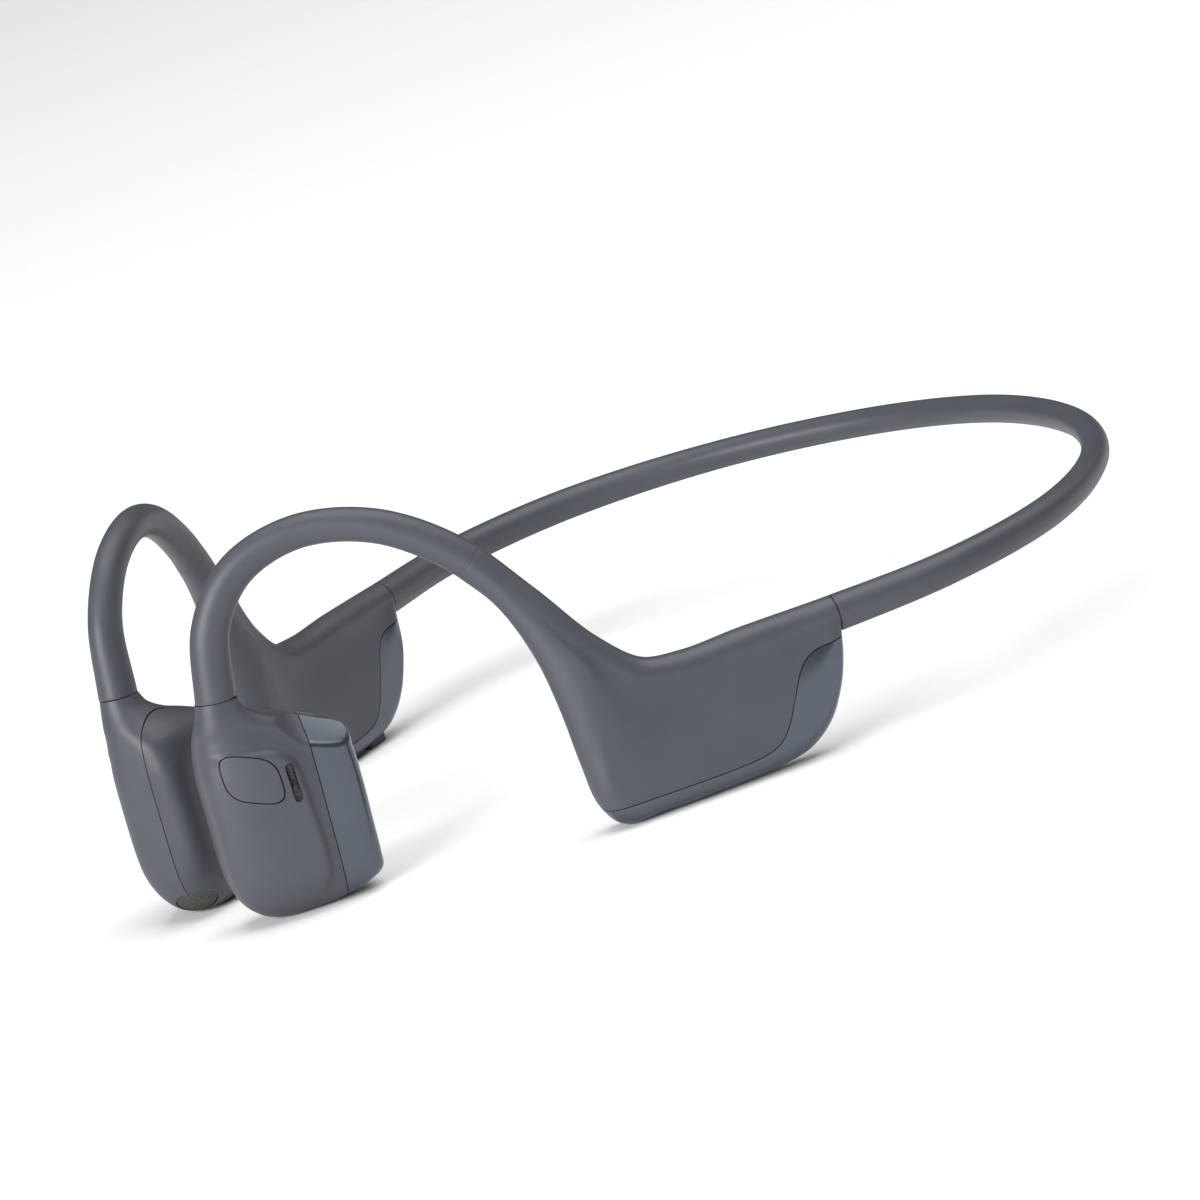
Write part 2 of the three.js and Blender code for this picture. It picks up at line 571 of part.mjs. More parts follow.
headphones.add(right, mirrored);
export default headphones;
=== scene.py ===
"""Bone conduction headphones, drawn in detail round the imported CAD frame.

Lengths are in millimetres until a mesh is made, and every mesh is in metres. Both sides are
drawn as the right one; the left one is its mirror image across X = 0.
"""

import math

import bmesh
import bpy
import numpy as np
from mathutils import Matrix, Vector
from mathutils.bvhtree import BVHTree


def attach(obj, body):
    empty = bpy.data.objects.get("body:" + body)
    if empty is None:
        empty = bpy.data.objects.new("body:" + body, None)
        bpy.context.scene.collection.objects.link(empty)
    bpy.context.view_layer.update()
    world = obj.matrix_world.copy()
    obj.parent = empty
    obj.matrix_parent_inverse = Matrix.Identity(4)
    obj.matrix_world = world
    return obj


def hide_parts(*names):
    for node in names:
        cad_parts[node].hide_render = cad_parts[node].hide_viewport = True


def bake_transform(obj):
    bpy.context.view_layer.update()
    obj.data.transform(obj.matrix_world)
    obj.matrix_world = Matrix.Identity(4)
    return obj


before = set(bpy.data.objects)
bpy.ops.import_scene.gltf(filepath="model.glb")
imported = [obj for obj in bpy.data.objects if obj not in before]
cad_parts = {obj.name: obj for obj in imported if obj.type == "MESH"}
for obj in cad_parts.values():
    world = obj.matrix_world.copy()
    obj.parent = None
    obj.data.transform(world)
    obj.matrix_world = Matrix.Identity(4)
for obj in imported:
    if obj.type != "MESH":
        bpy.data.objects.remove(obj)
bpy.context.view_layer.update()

MILLIMETRE = 0.001
SIDES = ("right", "left")

# ------------------------------------------------------------ dimensions, as in the CAD model
SPINE = np.array([
    (9.9, 59.2, 26.0), (10.7, 57.6, 34.2), (12.7, 53.6, 39.6), (16.8, 47.4, 41.9),
    (22.3, 40.7, 40.3), (27.2, 34.9, 35.1), (31.2, 30.4, 27.4), (34.3, 26.4, 20.1),
    (36.5, 22.0, 15.6), (38.6, 17.0, 14.7), (41.1, 10.1, 14.9), (44.7, 0, 14.9),
    (48.7, -13.9, 15.2), (46.9, -30.6, 15.6), (36.8, -46.3, 16.0), (19.7, -57.7, 16.3),
    (0, -61.6, 16.5), (-19.7, -57.7, 16.3),
])
HALF_HEIGHTS = np.array([2.4, 2.2, 2.1, 1.95, 1.95, 2.05, 2.15, 2.2, 2.2, 2.15, 2.1, 2.05,
                         1.9, 1.8, 1.65, 1.6, 1.6, 1.6])
HALF_WIDTHS = np.array([2.2, 1.85, 1.75, 1.75, 1.8, 1.85, 2.0, 2.05, 2.1, 2.1, 2.1, 2.0,
                        1.85, 1.75, 1.65, 1.6, 1.6, 1.6])
HOOK_START = 0.01             # stations along the spine, counted in spine points
HOUSING_START = 5.25
HOUSING_END = 11.0
BAND_START = 11.012
BAND_END = 16.0
WALL = 0.85
BORE_RADIUS = 1.0
WIRE_RADIUS = 0.3
CABLE_RADIUS = 0.28
LANE_OFFSET = 0.42

HOUSING_ORIGIN = (44.7, 0.0)
HOUSING_TOE_IN = math.radians(20.4)
HOUSING_HALF_WIDTH = 2.7
HOUSING_EDGE_ROUND = 2.4
HOUSING_EDGE = [
    (5.62, 36.4, 28.5), (6.0, 34.9, 25.0), (6.5, 33.7, 20.4), (7.0, 33.0, 14.5),
    (7.5, 32.6, 8.0), (8.0, 32.0, 3.2), (8.4, 30.0, 0.35), (9.0, 25.0, 0.15),
    (9.5, 18.0, 0.2), (10.0, 11.0, 0.5), (10.3, 7.0, 1.3), (10.53, 4.0, 3.4),
    (10.75, 1.9, 6.6), (10.9, 0.5, 10.2), (11.0, 0, 12.85),
]
COVER_SEAM = np.array([
    (38, 2.6), (27, 2.5), (16, 2.5), (11.5, 3.1), (9.4, 4.8), (7.8, 7.6), (6.3, 10.3),
    (4.7, 11.8), (2.2, 12.4), (-6, 12.8),
], float)
SEAM_GAP = 0.10               # the hairline between neighbouring mouldings

POD_ORIGIN = (9.9, 59.2)
POD_TOE_IN = math.radians(24)
PAD_SPLIT = -3.65
PAD_FLAT = -7.3
CAP_SEAM = ((-8.5, 24.0), (-7.7, -2.0))
# Front a, front z, rear a, rear z, outer b, inner b, squareness, from the hook down.
POD_SECTIONS = np.array([
    (2.4, 26.52, -2.4, 26.2, 2.2, -2.2, 2.0), (2.8, 25.1, -3.0, 24.75, 2.4, -2.9, 2.1),
    (3.4, 23.4, -4.8, 23.4, 2.6, -4.2, 2.3), (3.7, 22.2, -7.3, 22.25, 2.7, -5.6, 2.6),
    (3.9, 21.1, -10.0, 20.9, 2.8, -6.6, 3.0), (4.1, 19.6, -12.9, 19.2, 2.8, -7.2, 3.4),
    (4.3, 17.4, -13.2, 16.3, 2.8, -7.5, 3.8), (4.4, 13.0, -13.2, 12.5, 2.8, -7.6, 4.0),
    (4.5, 8.5, -13.0, 8.0, 2.7, -7.5, 4.0), (4.4, 5.8, -12.85, 4.2, 2.5, -7.2, 3.6),
    (3.8, 3.4, -12.6, 2.3, 2.0, -6.7, 3.0), (2.6, 1.6, -10.9, 1.2, 1.2, -5.9, 2.6),
    (0.9, 0.5, -8.1, 0.45, 0.2, -4.8, 2.4), (-1.2, 0.0, -5.2, 0.0, -1.2, -3.6, 2.2),
])
HOOK_FOOT = (26.36, -0.067)   # the hook's end plane: height at a 0, and slope backwards
GRILLE_CENTRE = (1.95, 2.0, -3.4)
GRILLE_TILT = math.radians(38)
GRILLE_HALF = (2.25, 2.0)
BUTTON_CENTRE = (-0.93, 17.1)
BUTTON_HALF = (3.05, 2.7)
BUTTON_SKEW = 0.38
BUTTON_POWER = 0.6            # 1 would be an oval, 0 a box
BUTTON_GAP = 0.1
SLOT_TOP = (-5.25, 17.2)
SLOT_BOTTOM = (-5.3, 13.6)
SLOT_HALF_WIDTH = 0.5
VOLUME_KEYS = {"volume_up": 13.9, "volume_down": 9.3}
VOLUME_HALF = (1.9, 0.8)
PORT_S = 22.5
PORT_HALF = (4.3, 1.35)


# ------------------------------------------------------------ curves
def unit(vector):
    return vector / np.linalg.norm(vector)


def neighbours(points, place):
    """The four points round a place on a curve, and how far the place is past the second."""
    low = max(0, min(int(math.floor(place)), len(points) - 2))
    here, after = points[low], points[low + 1]
    before = points[low - 1] if low > 0 else 2 * here - after
    beyond = points[low + 2] if low + 2 < len(points) else 2 * after - here
    return before, here, after, beyond, place - low


def hermite(start, end, slope_in, slope_out, weight):
    square = weight * weight
    cube = square * weight
    return (start + slope_in * weight + (3 * (end - start) - 2 * slope_in - slope_out) * square
            + (2 * (start - end) + slope_in + slope_out) * cube)


def uniform_curve(points, place):
    """Uniform Catmull-Rom curve through rows of numbers; place counts rows."""
    before, here, after, beyond, weight = neighbours(points, place)
    return hermite(here, after, (after - before) / 2, (beyond - here) / 2, weight)


def centripetal_curve(points, place):
    """Centripetal Catmull-Rom curve through points; place counts points."""
    before, here, after, beyond, weight = neighbours(points, place)
    gap0 = np.linalg.norm(here - before) ** 0.5
    gap1 = np.linalg.norm(after - here) ** 0.5
    gap2 = np.linalg.norm(beyond - after) ** 0.5
    slope_in = (here - before) / gap0 - (after - before) / (gap0 + gap1) + (after - here) / gap1
    slope_out = (after - here) / gap1 - (beyond - here) / (gap1 + gap2) + (beyond - after) / gap2
    return hermite(here, after, slope_in * gap1, slope_out * gap1, weight)


def smooth(value):
    """0 below 0, 1 above 1, and a soft step between them."""
    value = np.clip(value, 0, 1)
    return value * value * (3 - 2 * value)


def blend_values(a, b, weight):
    return a + (b - a) * weight


# ------------------------------------------------------------ frames
def side_frame(origin, toe_in):
    """Axes forward, up and outward, and the origin, of a side view turned by the toe-in."""
    forward = (-math.sin(toe_in), math.cos(toe_in), 0)
    outward = (math.cos(toe_in), math.sin(toe_in), 0)
    return np.array([forward, (0, 0, 1), outward]), np.array([*origin, 0.0])


def placed(local_frame, points):
    axes, origin = local_frame
    return np.asarray(points, float) @ axes + origin


def local_to(local_frame, points):
    axes, origin = local_frame
    return (np.asarray(points, float) - origin) @ axes.T


HOUSING = side_frame(HOUSING_ORIGIN, HOUSING_TOE_IN)
POD = side_frame(POD_ORIGIN, POD_TOE_IN)
# The grille looks forward and down: its axes are across, up its own slope, and out of it.
GRILLE_OUT = np.array([math.cos(GRILLE_TILT), -math.sin(GRILLE_TILT), 0])
GRILLE_UP = np.array([math.sin(GRILLE_TILT), math.cos(GRILLE_TILT), 0])
GRILLE = (np.array([[0, 0, 1], GRILLE_UP, GRILLE_OUT]) @ POD[0],
          placed(POD, GRILLE_CENTRE))


# ------------------------------------------------------------ spine
TANGENT_STEP = 0.002


def spine_at(station):
    return centripetal_curve(SPINE, station)


def spine_axes(station):
    """Tangent, outward and above directions at a station."""
    tangent = unit(spine_at(station + TANGENT_STEP) - spine_at(station - TANGENT_STEP))
    outward = HOUSING[0][2] if station < HOUSING_END else np.array([-tangent[1], tangent[0], 0])
    outward = unit(outward - tangent * outward.dot(tangent))
    return tangent, outward, np.cross(tangent, outward)


def half_height(station):
    return uniform_curve(HALF_HEIGHTS, station)


def half_width(station):
    return uniform_curve(HALF_WIDTHS, station)


def tube_row(station, outline, height, width, lift=0.0):
    """A ring across the spine; outline is in shares of the half width and half height."""
    _, outward, above = spine_axes(station)
    centre = spine_at(station) + above * lift
    return (centre + np.outer(outline[:, 0] * width, outward)
            + np.outer(outline[:, 1] * height, above))


def circle(count):
    angles = np.linspace(0, 2 * math.pi, count, endpoint=False)
    return np.stack([np.cos(angles), np.sin(angles)], 1)


def mirrored(points):
    return np.asarray(points) * (-1, 1, 1)


# ------------------------------------------------------------ meshes
def grid(rows, wrap_columns=True, wrap_rows=False, caps=()):
    """Points and faces of a grid of rows; caps names the rows, 0 or -1, closed by a face."""
    rows = np.asarray(rows)
    count, columns = rows.shape[:2]
    faces = []
    for row in range(count if wrap_rows else count - 1):
        below = (row + 1) % count
        for column in range(columns if wrap_columns else columns - 1):
            beside = (column + 1) % columns
            faces.append((row * columns + column, row * columns + beside,
                          below * columns + beside, below * columns + column))
    for row in caps:
        first = (row % count) * columns
        loop = tuple(range(first, first + columns))
        faces.append(loop if row else loop[::-1])
    return rows.reshape(-1, 3), faces


def tube_with_bore(outer, inner):
    """A closed sleeve: outside along, inside back, and a ring at each end."""
    return grid(list(outer) + list(inner)[::-1], wrap_rows=True)


def prism(outline, local_frame, low, high):
    """An outline of the frame's side view, extruded between two outward depths."""
    rows = [placed(local_frame, np.column_stack([outline, np.full(len(outline), depth)]))
            for depth in (low, high)]
    return grid(rows, caps=(0, -1))


MERGE = 2e-6                  # metres
FINE_MERGE = 1e-7             # for the housings, whose narrowest faces are very small


def weld(mesh, distance=MERGE):
    """Merges points that coincide and drops the faces that have no area."""
    work = bmesh.new()
    work.from_mesh(mesh)
    bmesh.ops.remove_doubles(work, verts=work.verts, dist=distance)
    bmesh.ops.dissolve_degenerate(work, edges=work.edges, dist=distance)
    bmesh.ops.recalc_face_normals(work, faces=work.faces)
    work.to_mesh(mesh)
    work.free()


def mesh_object(name, points, faces, side="right"):
    """A new object from points in millimetres, mirrored for the left side."""
    points = np.asarray(points) * MILLIMETRE
    if side == "left":
        points = mirrored(points)
    mesh = bpy.data.meshes.new(name)
    mesh.from_pydata(points.tolist(), [], faces)
    weld(mesh)
    obj = bpy.data.objects.new(name, mesh)
    bpy.context.scene.collection.objects.link(obj)
    return obj


def applied(obj):
    """The object with its modifiers made part of its mesh."""
    bpy.context.view_layer.update()
    depsgraph = bpy.context.evaluated_depsgraph_get()
    old = obj.data
    obj.data = bpy.data.meshes.new_from_object(obj.evaluated_get(depsgraph), depsgraph=depsgraph)
    obj.modifiers.clear()
    bpy.data.meshes.remove(old)
    return obj


def thicken(obj, thickness=WALL):
    """Gives an outside skin its wall, inwards."""
    solid = obj.modifiers.new("wall", "SOLIDIFY")
    solid.thickness = thickness * MILLIMETRE
    solid.offset = -1
    solid.use_even_offset = True
    return applied(obj)


def cut(obj, cutter_points, cutter_faces, side):
    """Takes a cutter's volume away from the object."""
    cutter = mesh_object("cutter", cutter_points, cutter_faces, side)
    boolean = obj.modifiers.new("cut", "BOOLEAN")
    boolean.operation = "DIFFERENCE"
    boolean.solver = "MANIFOLD"
    boolean.object = cutter
    applied(obj)
    bpy.data.objects.remove(cutter)
    return obj


BEVEL_ANGLE = math.radians(50)
BEVEL_SEGMENTS = 2
EDGE_WIDTH = 0.05
SHARP_ANGLE = math.radians(38)
NORMAL_WEIGHT = 80            # how far the larger faces win when shading normals are averaged


def soften(obj, width=EDGE_WIDTH, merge=MERGE):
    """Breaks the sharp edges and shades the rest smooth."""
    bevel = obj.modifiers.new("edges", "BEVEL")
    bevel.limit_method = "ANGLE"
    bevel.angle_limit = BEVEL_ANGLE
    bevel.width = width * MILLIMETRE
    bevel.segments = BEVEL_SEGMENTS
    bevel.use_clamp_overlap = True
    applied(obj)
    weld(obj.data, merge)
    return shade(obj)


def shade(obj):
    obj.data.shade_smooth()
    obj.data.set_sharp_from_angle(angle=SHARP_ANGLE)
    weighted = obj.modifiers.new("normals", "WEIGHTED_NORMAL")
    weighted.keep_sharp = True
    weighted.weight = NORMAL_WEIGHT
    return applied(obj)


def finish_piece(obj, body, material, slot, *nodes):
    """Material, body and the CAD nodes that the piece stands for; the record slot is not used."""
    obj.data.materials.clear()
    obj.data.materials.append(material)
    if body:
        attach(obj, body)
    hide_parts(*nodes)
    return obj


# ------------------------------------------------------------ materials
WAVE_UNIT = 20                # a wave texture turns by this many radians for each unit of scale
LACQUER_TONE = 3              # how far the colours of a material stray, in steps of 255
FLAKE_TONE = 7
PLASTIC_TONE = 5
PLATED_GOLD = (0.55, 0.42, 0.18, 1)


class Shader:
    """A material and a short way to add nodes to it."""

    def __init__(self, name, metallic=0.0, specular=0.5):
        self.material = bpy.data.materials.new(name)
        self.material.use_nodes = True
        self.nodes = self.material.node_tree.nodes
        self.surface = self.nodes["Principled BSDF"]
        self.surface.inputs["Metallic"].default_value = metallic
        self.surface.inputs["Specular IOR Level"].default_value = specular
        self.place = self.nodes.new("ShaderNodeTexCoord").outputs["Object"]

    def link(self, source, target):
        self.material.node_tree.links.new(source, target)

    def noise(self, grain, detail=2.0, stretch=(1, 1, 1)):
        """Noise whose features are about grain millimetres across."""
        texture = self.nodes.new("ShaderNodeTexNoise")
        texture.inputs["Scale"].default_value = 1 / (grain * MILLIMETRE)
        texture.inputs["Detail"].default_value = detail
        place = self.place
        if stretch != (1, 1, 1):
            mapping = self.nodes.new("ShaderNodeMapping")
            mapping.inputs["Scale"].default_value = stretch
            self.link(place, mapping.inputs["Vector"])
            place = mapping.outputs["Vector"]
        self.link(place, texture.inputs["Vector"])
        return texture.outputs["Fac"]

    def cells(self, size):
        """Distance from the nearest of scattered points, about size millimetres apart."""
        texture = self.nodes.new("ShaderNodeTexVoronoi")
        texture.inputs["Scale"].default_value = 1 / (size * MILLIMETRE)
        self.link(self.place, texture.inputs["Vector"])
        return texture.outputs["Distance"]

    def bands(self, pitch, direction):
        """A sine across one axis, one full band each pitch millimetres."""
        texture = self.nodes.new("ShaderNodeTexWave")
        texture.wave_type = "BANDS"
        texture.bands_direction = direction
        texture.inputs["Scale"].default_value = 2 * math.pi / (WAVE_UNIT * pitch * MILLIMETRE)
        self.link(self.place, texture.inputs["Vector"])
        return texture.outputs["Fac"]

    def ramp(self, source, stops):
        """Colours along a value: stops are (position, sRGB colour)."""
        ramp = self.nodes.new("ShaderNodeValToRGB")
        elements = ramp.color_ramp.elements
        while len(elements) < len(stops):
            elements.new(0.5)
        for element, (position, colour) in zip(elements, stops):
            element.position = position
            element.color = (*[linear(channel) for channel in colour], 1)
        self.link(source, ramp.inputs["Fac"])
        return ramp.outputs["Color"]

    def span(self, source, low, high):
        """A value between 0 and 1 mapped to between low and high."""
        node = self.nodes.new("ShaderNodeMapRange")
        node.inputs["To Min"].default_value = low
        node.inputs["To Max"].default_value = high
        self.link(source, node.inputs["Value"])
        return node.outputs["Result"]

    def maths(self, operation, *sources):
        node = self.nodes.new("ShaderNodeMath")
        node.operation = operation
        for target, source in zip(node.inputs, sources):
            if isinstance(source, (int, float)):
                target.default_value = source
            else:
                self.link(source, target)
        return node.outputs["Value"]

    def bump(self, source, depth, strength=1.0):
        """Relief of a depth in millimetres."""
        node = self.nodes.new("ShaderNodeBump")
        node.inputs["Distance"].default_value = depth * MILLIMETRE
        node.inputs["Strength"].default_value = strength
        self.link(source, node.inputs["Height"])
        self.link(node.outputs["Normal"], self.surface.inputs["Normal"])

    def colour(self, source):
        self.link(source, self.surface.inputs["Base Color"])

    def roughness(self, source):
        self.link(source, self.surface.inputs["Roughness"])


def linear(channel):
    """An sRGB channel, 0 to 255, as linear light."""
    share = channel / 255
    return share / 12.92 if share <= 0.04045 else ((share + 0.055) / 1.055) ** 2.4


def shifted(colour, amount):
    return tuple(max(0, min(255, channel + amount)) for channel in colour)


def soft_touch(name, colour, grain=0.16, relief=0.006):
    """Matte rubbery lacquer: a fine even grain and faint cloudy wear."""
    shader = Shader(name, specular=0.4)
    cloud = shader.noise(9.0, 3)
    fine = shader.noise(grain, 2)
    mixed = shader.maths("ADD", shader.maths("MULTIPLY", cloud, 0.6),
                         shader.maths("MULTIPLY", fine, 0.4))
    shader.colour(shader.ramp(mixed, [(0.35, shifted(colour, -LACQUER_TONE)),
                                      (0.65, shifted(colour, LACQUER_TONE))]))
    shader.roughness(shader.span(cloud, 0.42, 0.5))
    shader.bump(fine, relief)
    return shader.material


def satin_paint(name, colour):
    """Blue-grey metallic paint: tiny flakes under a satin coat."""
    shader = Shader(name, metallic=0.75)
    flake = shader.cells(0.07)
    fine = shader.noise(0.11, 2)
    shader.colour(shader.ramp(shader.maths("MULTIPLY", flake, fine),
                              [(0.05, shifted(colour, FLAKE_TONE)),
                               (0.45, shifted(colour, -FLAKE_TONE))]))
    shader.roughness(shader.span(fine, 0.2, 0.3))
    shader.bump(fine, 0.0015)
    return shader.material


def moulded_plastic(name, colour):
    shader = Shader(name)
    fine = shader.noise(0.12, 3)
    shader.colour(shader.ramp(fine, [(0.3, shifted(colour, -PLASTIC_TONE)),
                                     (0.7, shifted(colour, PLASTIC_TONE))]))
    shader.roughness(shader.span(shader.noise(4.0), 0.42, 0.55))
    shader.bump(fine, 0.004)
    return shader.material


def brushed_metal(name, colour, roughness):
    shader = Shader(name, metallic=1.0)
    streaks = shader.noise(0.3, 3, stretch=(1, 1, 9))
    shader.colour(shader.ramp(streaks, [(0.3, shifted(colour, -16)), (0.7, shifted(colour, 8))]))
    shader.roughness(shader.span(streaks, roughness - 0.08, roughness + 0.1))
    shader.bump(streaks, 0.003)
    return shader.material


def woven_mesh(name, colour, pitch, opening_shade):
    """Woven wire cloth: crossing threads, with painted shade in the dark openings."""
    shader = Shader(name, metallic=0.35)
    opening = shader.cells(pitch)
    grime = shader.noise(0.5, 3)
    shade_value = shader.maths("ADD", opening, shader.maths("MULTIPLY", grime, 0.2))
    # The openings take the dark last colour: painted shade where the cloth is open.
    shader.colour(shader.ramp(shade_value, [(0.3, opening_shade), (0.6, colour)]))
    shader.roughness(shader.span(grime, 0.5, 0.75))
    shader.bump(opening, 0.04)
    return shader.material


def printed_board(name):
    """Green board: copper runs as thin lines under the mask, with plated dots."""
    shader = Shader(name)
    runs = shader.maths("MAXIMUM", shader.bands(0.9, "Z"), shader.bands(1.3, "Y"))
    dots = shader.cells(1.4)
    green = shader.ramp(runs, [(0.8, (24, 66, 46)), (0.95, (46, 104, 70))])
    mix = shader.nodes.new("ShaderNodeMix")
    mix.data_type = "RGBA"
    is_dot = shader.ramp(dots, [(0.1, (255, 255, 255)), (0.16, (0, 0, 0))])
    shader.link(is_dot, mix.inputs["Factor"])
    shader.link(green, mix.inputs["A"])
    mix.inputs["B"].default_value = PLATED_GOLD
    shader.colour(mix.outputs["Result"])
    shader.roughness(shader.span(shader.noise(0.8), 0.35, 0.55))
    shader.bump(runs, 0.02)
    return shader.material


def wrinkled_foil(name, colour):
    """Pouch-cell foil: soft wrinkles and a satin sheen."""
    shader = Shader(name, metallic=0.85)
    wrinkle = shader.noise(1.6, 4)
    shader.colour(shader.ramp(wrinkle, [(0.3, shifted(colour, -14)), (0.7, shifted(colour, 10))]))
    shader.roughness(shader.span(wrinkle, 0.28, 0.48))
    shader.bump(wrinkle, 0.06)
    return shader.material


def wound_copper(name):
    """Enamelled wire: fine turns one above another, with painted shade in the grooves between
    turns and a painted highlight on their crests.
    """
    shader = Shader(name, metallic=1.0)
    turns = shader.bands(0.12, "X")
    # Colour follows the turns: darker in the grooves as painted shade, lighter on the crests as
    # painted highlight.
    shader.colour(shader.ramp(turns, [(0.2, (120, 62, 32)), (0.8, (196, 120, 70))]))
    shader.roughness(shader.span(turns, 0.25, 0.4))
    shader.bump(turns, 0.03)
    return shader.material


def paper_floor(name, colour):
    shader = Shader(name, specular=0.1)
    tooth = shader.noise(1.5, 3)
    shader.colour(shader.ramp(tooth, [(0.3, shifted(colour, -1)), (0.7, shifted(colour, 1))]))
    shader.roughness(shader.span(tooth, 0.85, 0.95))
    return shader.material


shell_lacquer = soft_touch("shell_lacquer", (67, 70, 76))
sleeve_rubber = soft_touch("sleeve_rubber", (67, 70, 76), grain=0.2, relief=0.005)
# The pad's rubber is the shell's soft-touch made five steps darker: painted shade for the pod's
# inner pad.
shaded_pad_rubber = soft_touch("shaded_pad_rubber", (62, 65, 71), grain=0.14, relief=0.005)
satin_cover = satin_paint("satin_cover_paint", (85, 90, 99))
key_plastic = moulded_plastic("key_plastic_moulding", (65, 68, 74))
steel = brushed_metal("spring_steel", (182, 185, 190), 0.3)
# The last colour of each cloth is the painted shade in its openings.
grille_cloth = woven_mesh("grille_cloth", (82, 79, 74), 0.24, (24, 23, 22))
mic_cloth = woven_mesh("mic_cloth", (66, 68, 72), 0.3, (12, 12, 13))
copper = wound_copper("coil_copper")
board = printed_board("printed_board")
foil = wrinkled_foil("cell_foil", (158, 163, 169))
jacket = soft_touch("cable_jacket", (34, 35, 38), grain=0.1)


# ------------------------------------------------------------ neckband
# The spring wire and the cable run side by side, one above the other, in every sleeve.
LANES = [("wire", WIRE_RADIUS, LANE_OFFSET, steel, "steel"),
         ("cable", CABLE_RADIUS, -LANE_OFFSET, jacket, "cable_jacket")]
LANE_COLUMNS = 14
BAND_ROWS = 150
BAND_LANE_START = 10.55       # station inside the housing where the wire and cable end
BAND_LANE_ROWS = 120
# Round above, two flats below that lean in to a narrow keel with small rounded corners.
BAND_ARC = np.linspace(-0.30, math.pi + 0.30, 26)
BAND_LOWER = np.array([
    (-0.90, -0.48), (-0.80, -0.62), (-0.66, -0.78), (-0.53, -0.93), (-0.46, -0.99),
    (-0.36, -1.0), (0.0, -1.0), (0.36, -1.0), (0.46, -0.99), (0.53, -0.93), (0.66, -0.78),
    (0.80, -0.62), (0.90, -0.48),
])
BAND_OUTLINE = np.vstack([np.stack([np.cos(BAND_ARC), np.sin(BAND_ARC)], 1), BAND_LOWER])
NECK_DEPTH = 0.04             # stations
NECK_SHARE = 0.9              # of the sleeve's own section


def whole_band(row_at, start, rows):
    """Rows from the right housing round the back to the left one."""
    right = [row_at(station) for station in np.linspace(start, BAND_END, rows)]
    return right + [mirrored(row) for row in right[-2::-1]]


def band_piece(name, points, faces, material, slot, *nodes):
    obj = shade(mesh_object(name, points, faces))
    finish_piece(obj, None, material, slot, *nodes)
    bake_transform(obj)
    return obj


def band_bore(station):
    outline = circle(len(BAND_OUTLINE))
    angle = -BAND_ARC[0]
    turn = np.array([[math.cos(angle), -math.sin(angle)], [math.sin(angle), math.cos(angle)]])
    return tube_row(station, outline @ turn, BORE_RADIUS, BORE_RADIUS)


def band_row(station, share=1.0):
    return tube_row(station, BAND_OUTLINE, half_height(station) * share,
                    half_width(station) * share)


def make_neckband():
    """The sleeve has a short neck at each end that plugs into the housing behind the seam."""
    neck = [band_row(station, NECK_SHARE) for station in (BAND_START - NECK_DEPTH, BAND_START)]
    outer = (neck + whole_band(band_row, BAND_START, BAND_ROWS)
             + [mirrored(row) for row in neck[::-1]])
    inner = whole_band(band_bore, BAND_START - NECK_DEPTH, BAND_ROWS)
    band_piece("neckband_sleeve", *tube_with_bore(outer, inner), sleeve_rubber, "sleeve",
               "neckband_sleeve_right", "neckband_sleeve_left")
    for kind, radius, lift, material, slot in LANES:
        rows = whole_band(lambda at: tube_row(at, circle(LANE_COLUMNS), radius, radius, lift),
                          BAND_LANE_START, BAND_LANE_ROWS)
        band_piece(f"neckband_{kind}", *grid(rows, caps=(0, -1)), material, slot,
                   f"neckband_{kind}_right", f"neckband_{kind}_left")


# ------------------------------------------------------------ ear hooks
HOOK_ROWS = 120
HOOK_COLUMNS = 44
HOOK_LANE_ENDS = (0.05, 5.6)  # stations inside the pod and inside the housing
HOOK_LANE_ROWS = 110
TUCK = 0.03                   # the hook's end slips this far under the housing's skin
TUCK_LEAD = 0.01              # stations on either side of the housing's edge for the tuck
HOOK_OVERLAP = 0.06           # stations of hook inside the housing
FOOT_REACH = 0.7              # stations over which the hook turns into the pod's top plane


def hook_row(station, radius=None):
    """A ring of the hook, or of its bore; near the pod it turns into the pod's top plane."""
    tuck = TUCK * smooth((station - HOUSING_START + TUCK_LEAD) / (2 * TUCK_LEAD))
    row = tube_row(station, circle(HOOK_COLUMNS), radius or half_height(station) - tuck,
                   radius or half_width(station) - tuck)
    weight = 1 - smooth((station - HOOK_START) / FOOT_REACH)
    local = local_to(POD, row)
    height, slope = HOOK_FOOT
    flat = height + (spine_at(station)[2] - SPINE[0][2]) - slope * local[:, 0]
    local[:, 1] = blend_values(local[:, 1], flat, weight)
    return placed(POD, local)


def make_ear_hook(side):
    stations = np.append(np.linspace(HOOK_START, HOUSING_START - TUCK_LEAD, HOOK_ROWS),
                         [HOUSING_START + TUCK_LEAD, HOUSING_START + HOOK_OVERLAP])
    outer = [hook_row(station) for station in stations]
    inner = [hook_row(station, BORE_RADIUS) for station in stations]
    sleeve = soften(mesh_object(f"earhook_sleeve_{side}_fine", *tube_with_bore(outer, inner),
                                side))
    finish_piece(sleeve, f"{side}_side", sleeve_rubber, "sleeve", f"earhook_sleeve_{side}")
    for kind, radius, lift, material, slot in LANES:
        rows = [tube_row(station, circle(LANE_COLUMNS), radius, radius, lift)
                for station in np.linspace(*HOOK_LANE_ENDS, HOOK_LANE_ROWS)]
        name = f"earhook_{kind}_{side}"
        obj = shade(mesh_object(f"{name}_fine", *grid(rows, caps=(0, -1)), side))
        finish_piece(obj, f"{side}_side", material, slot, name)


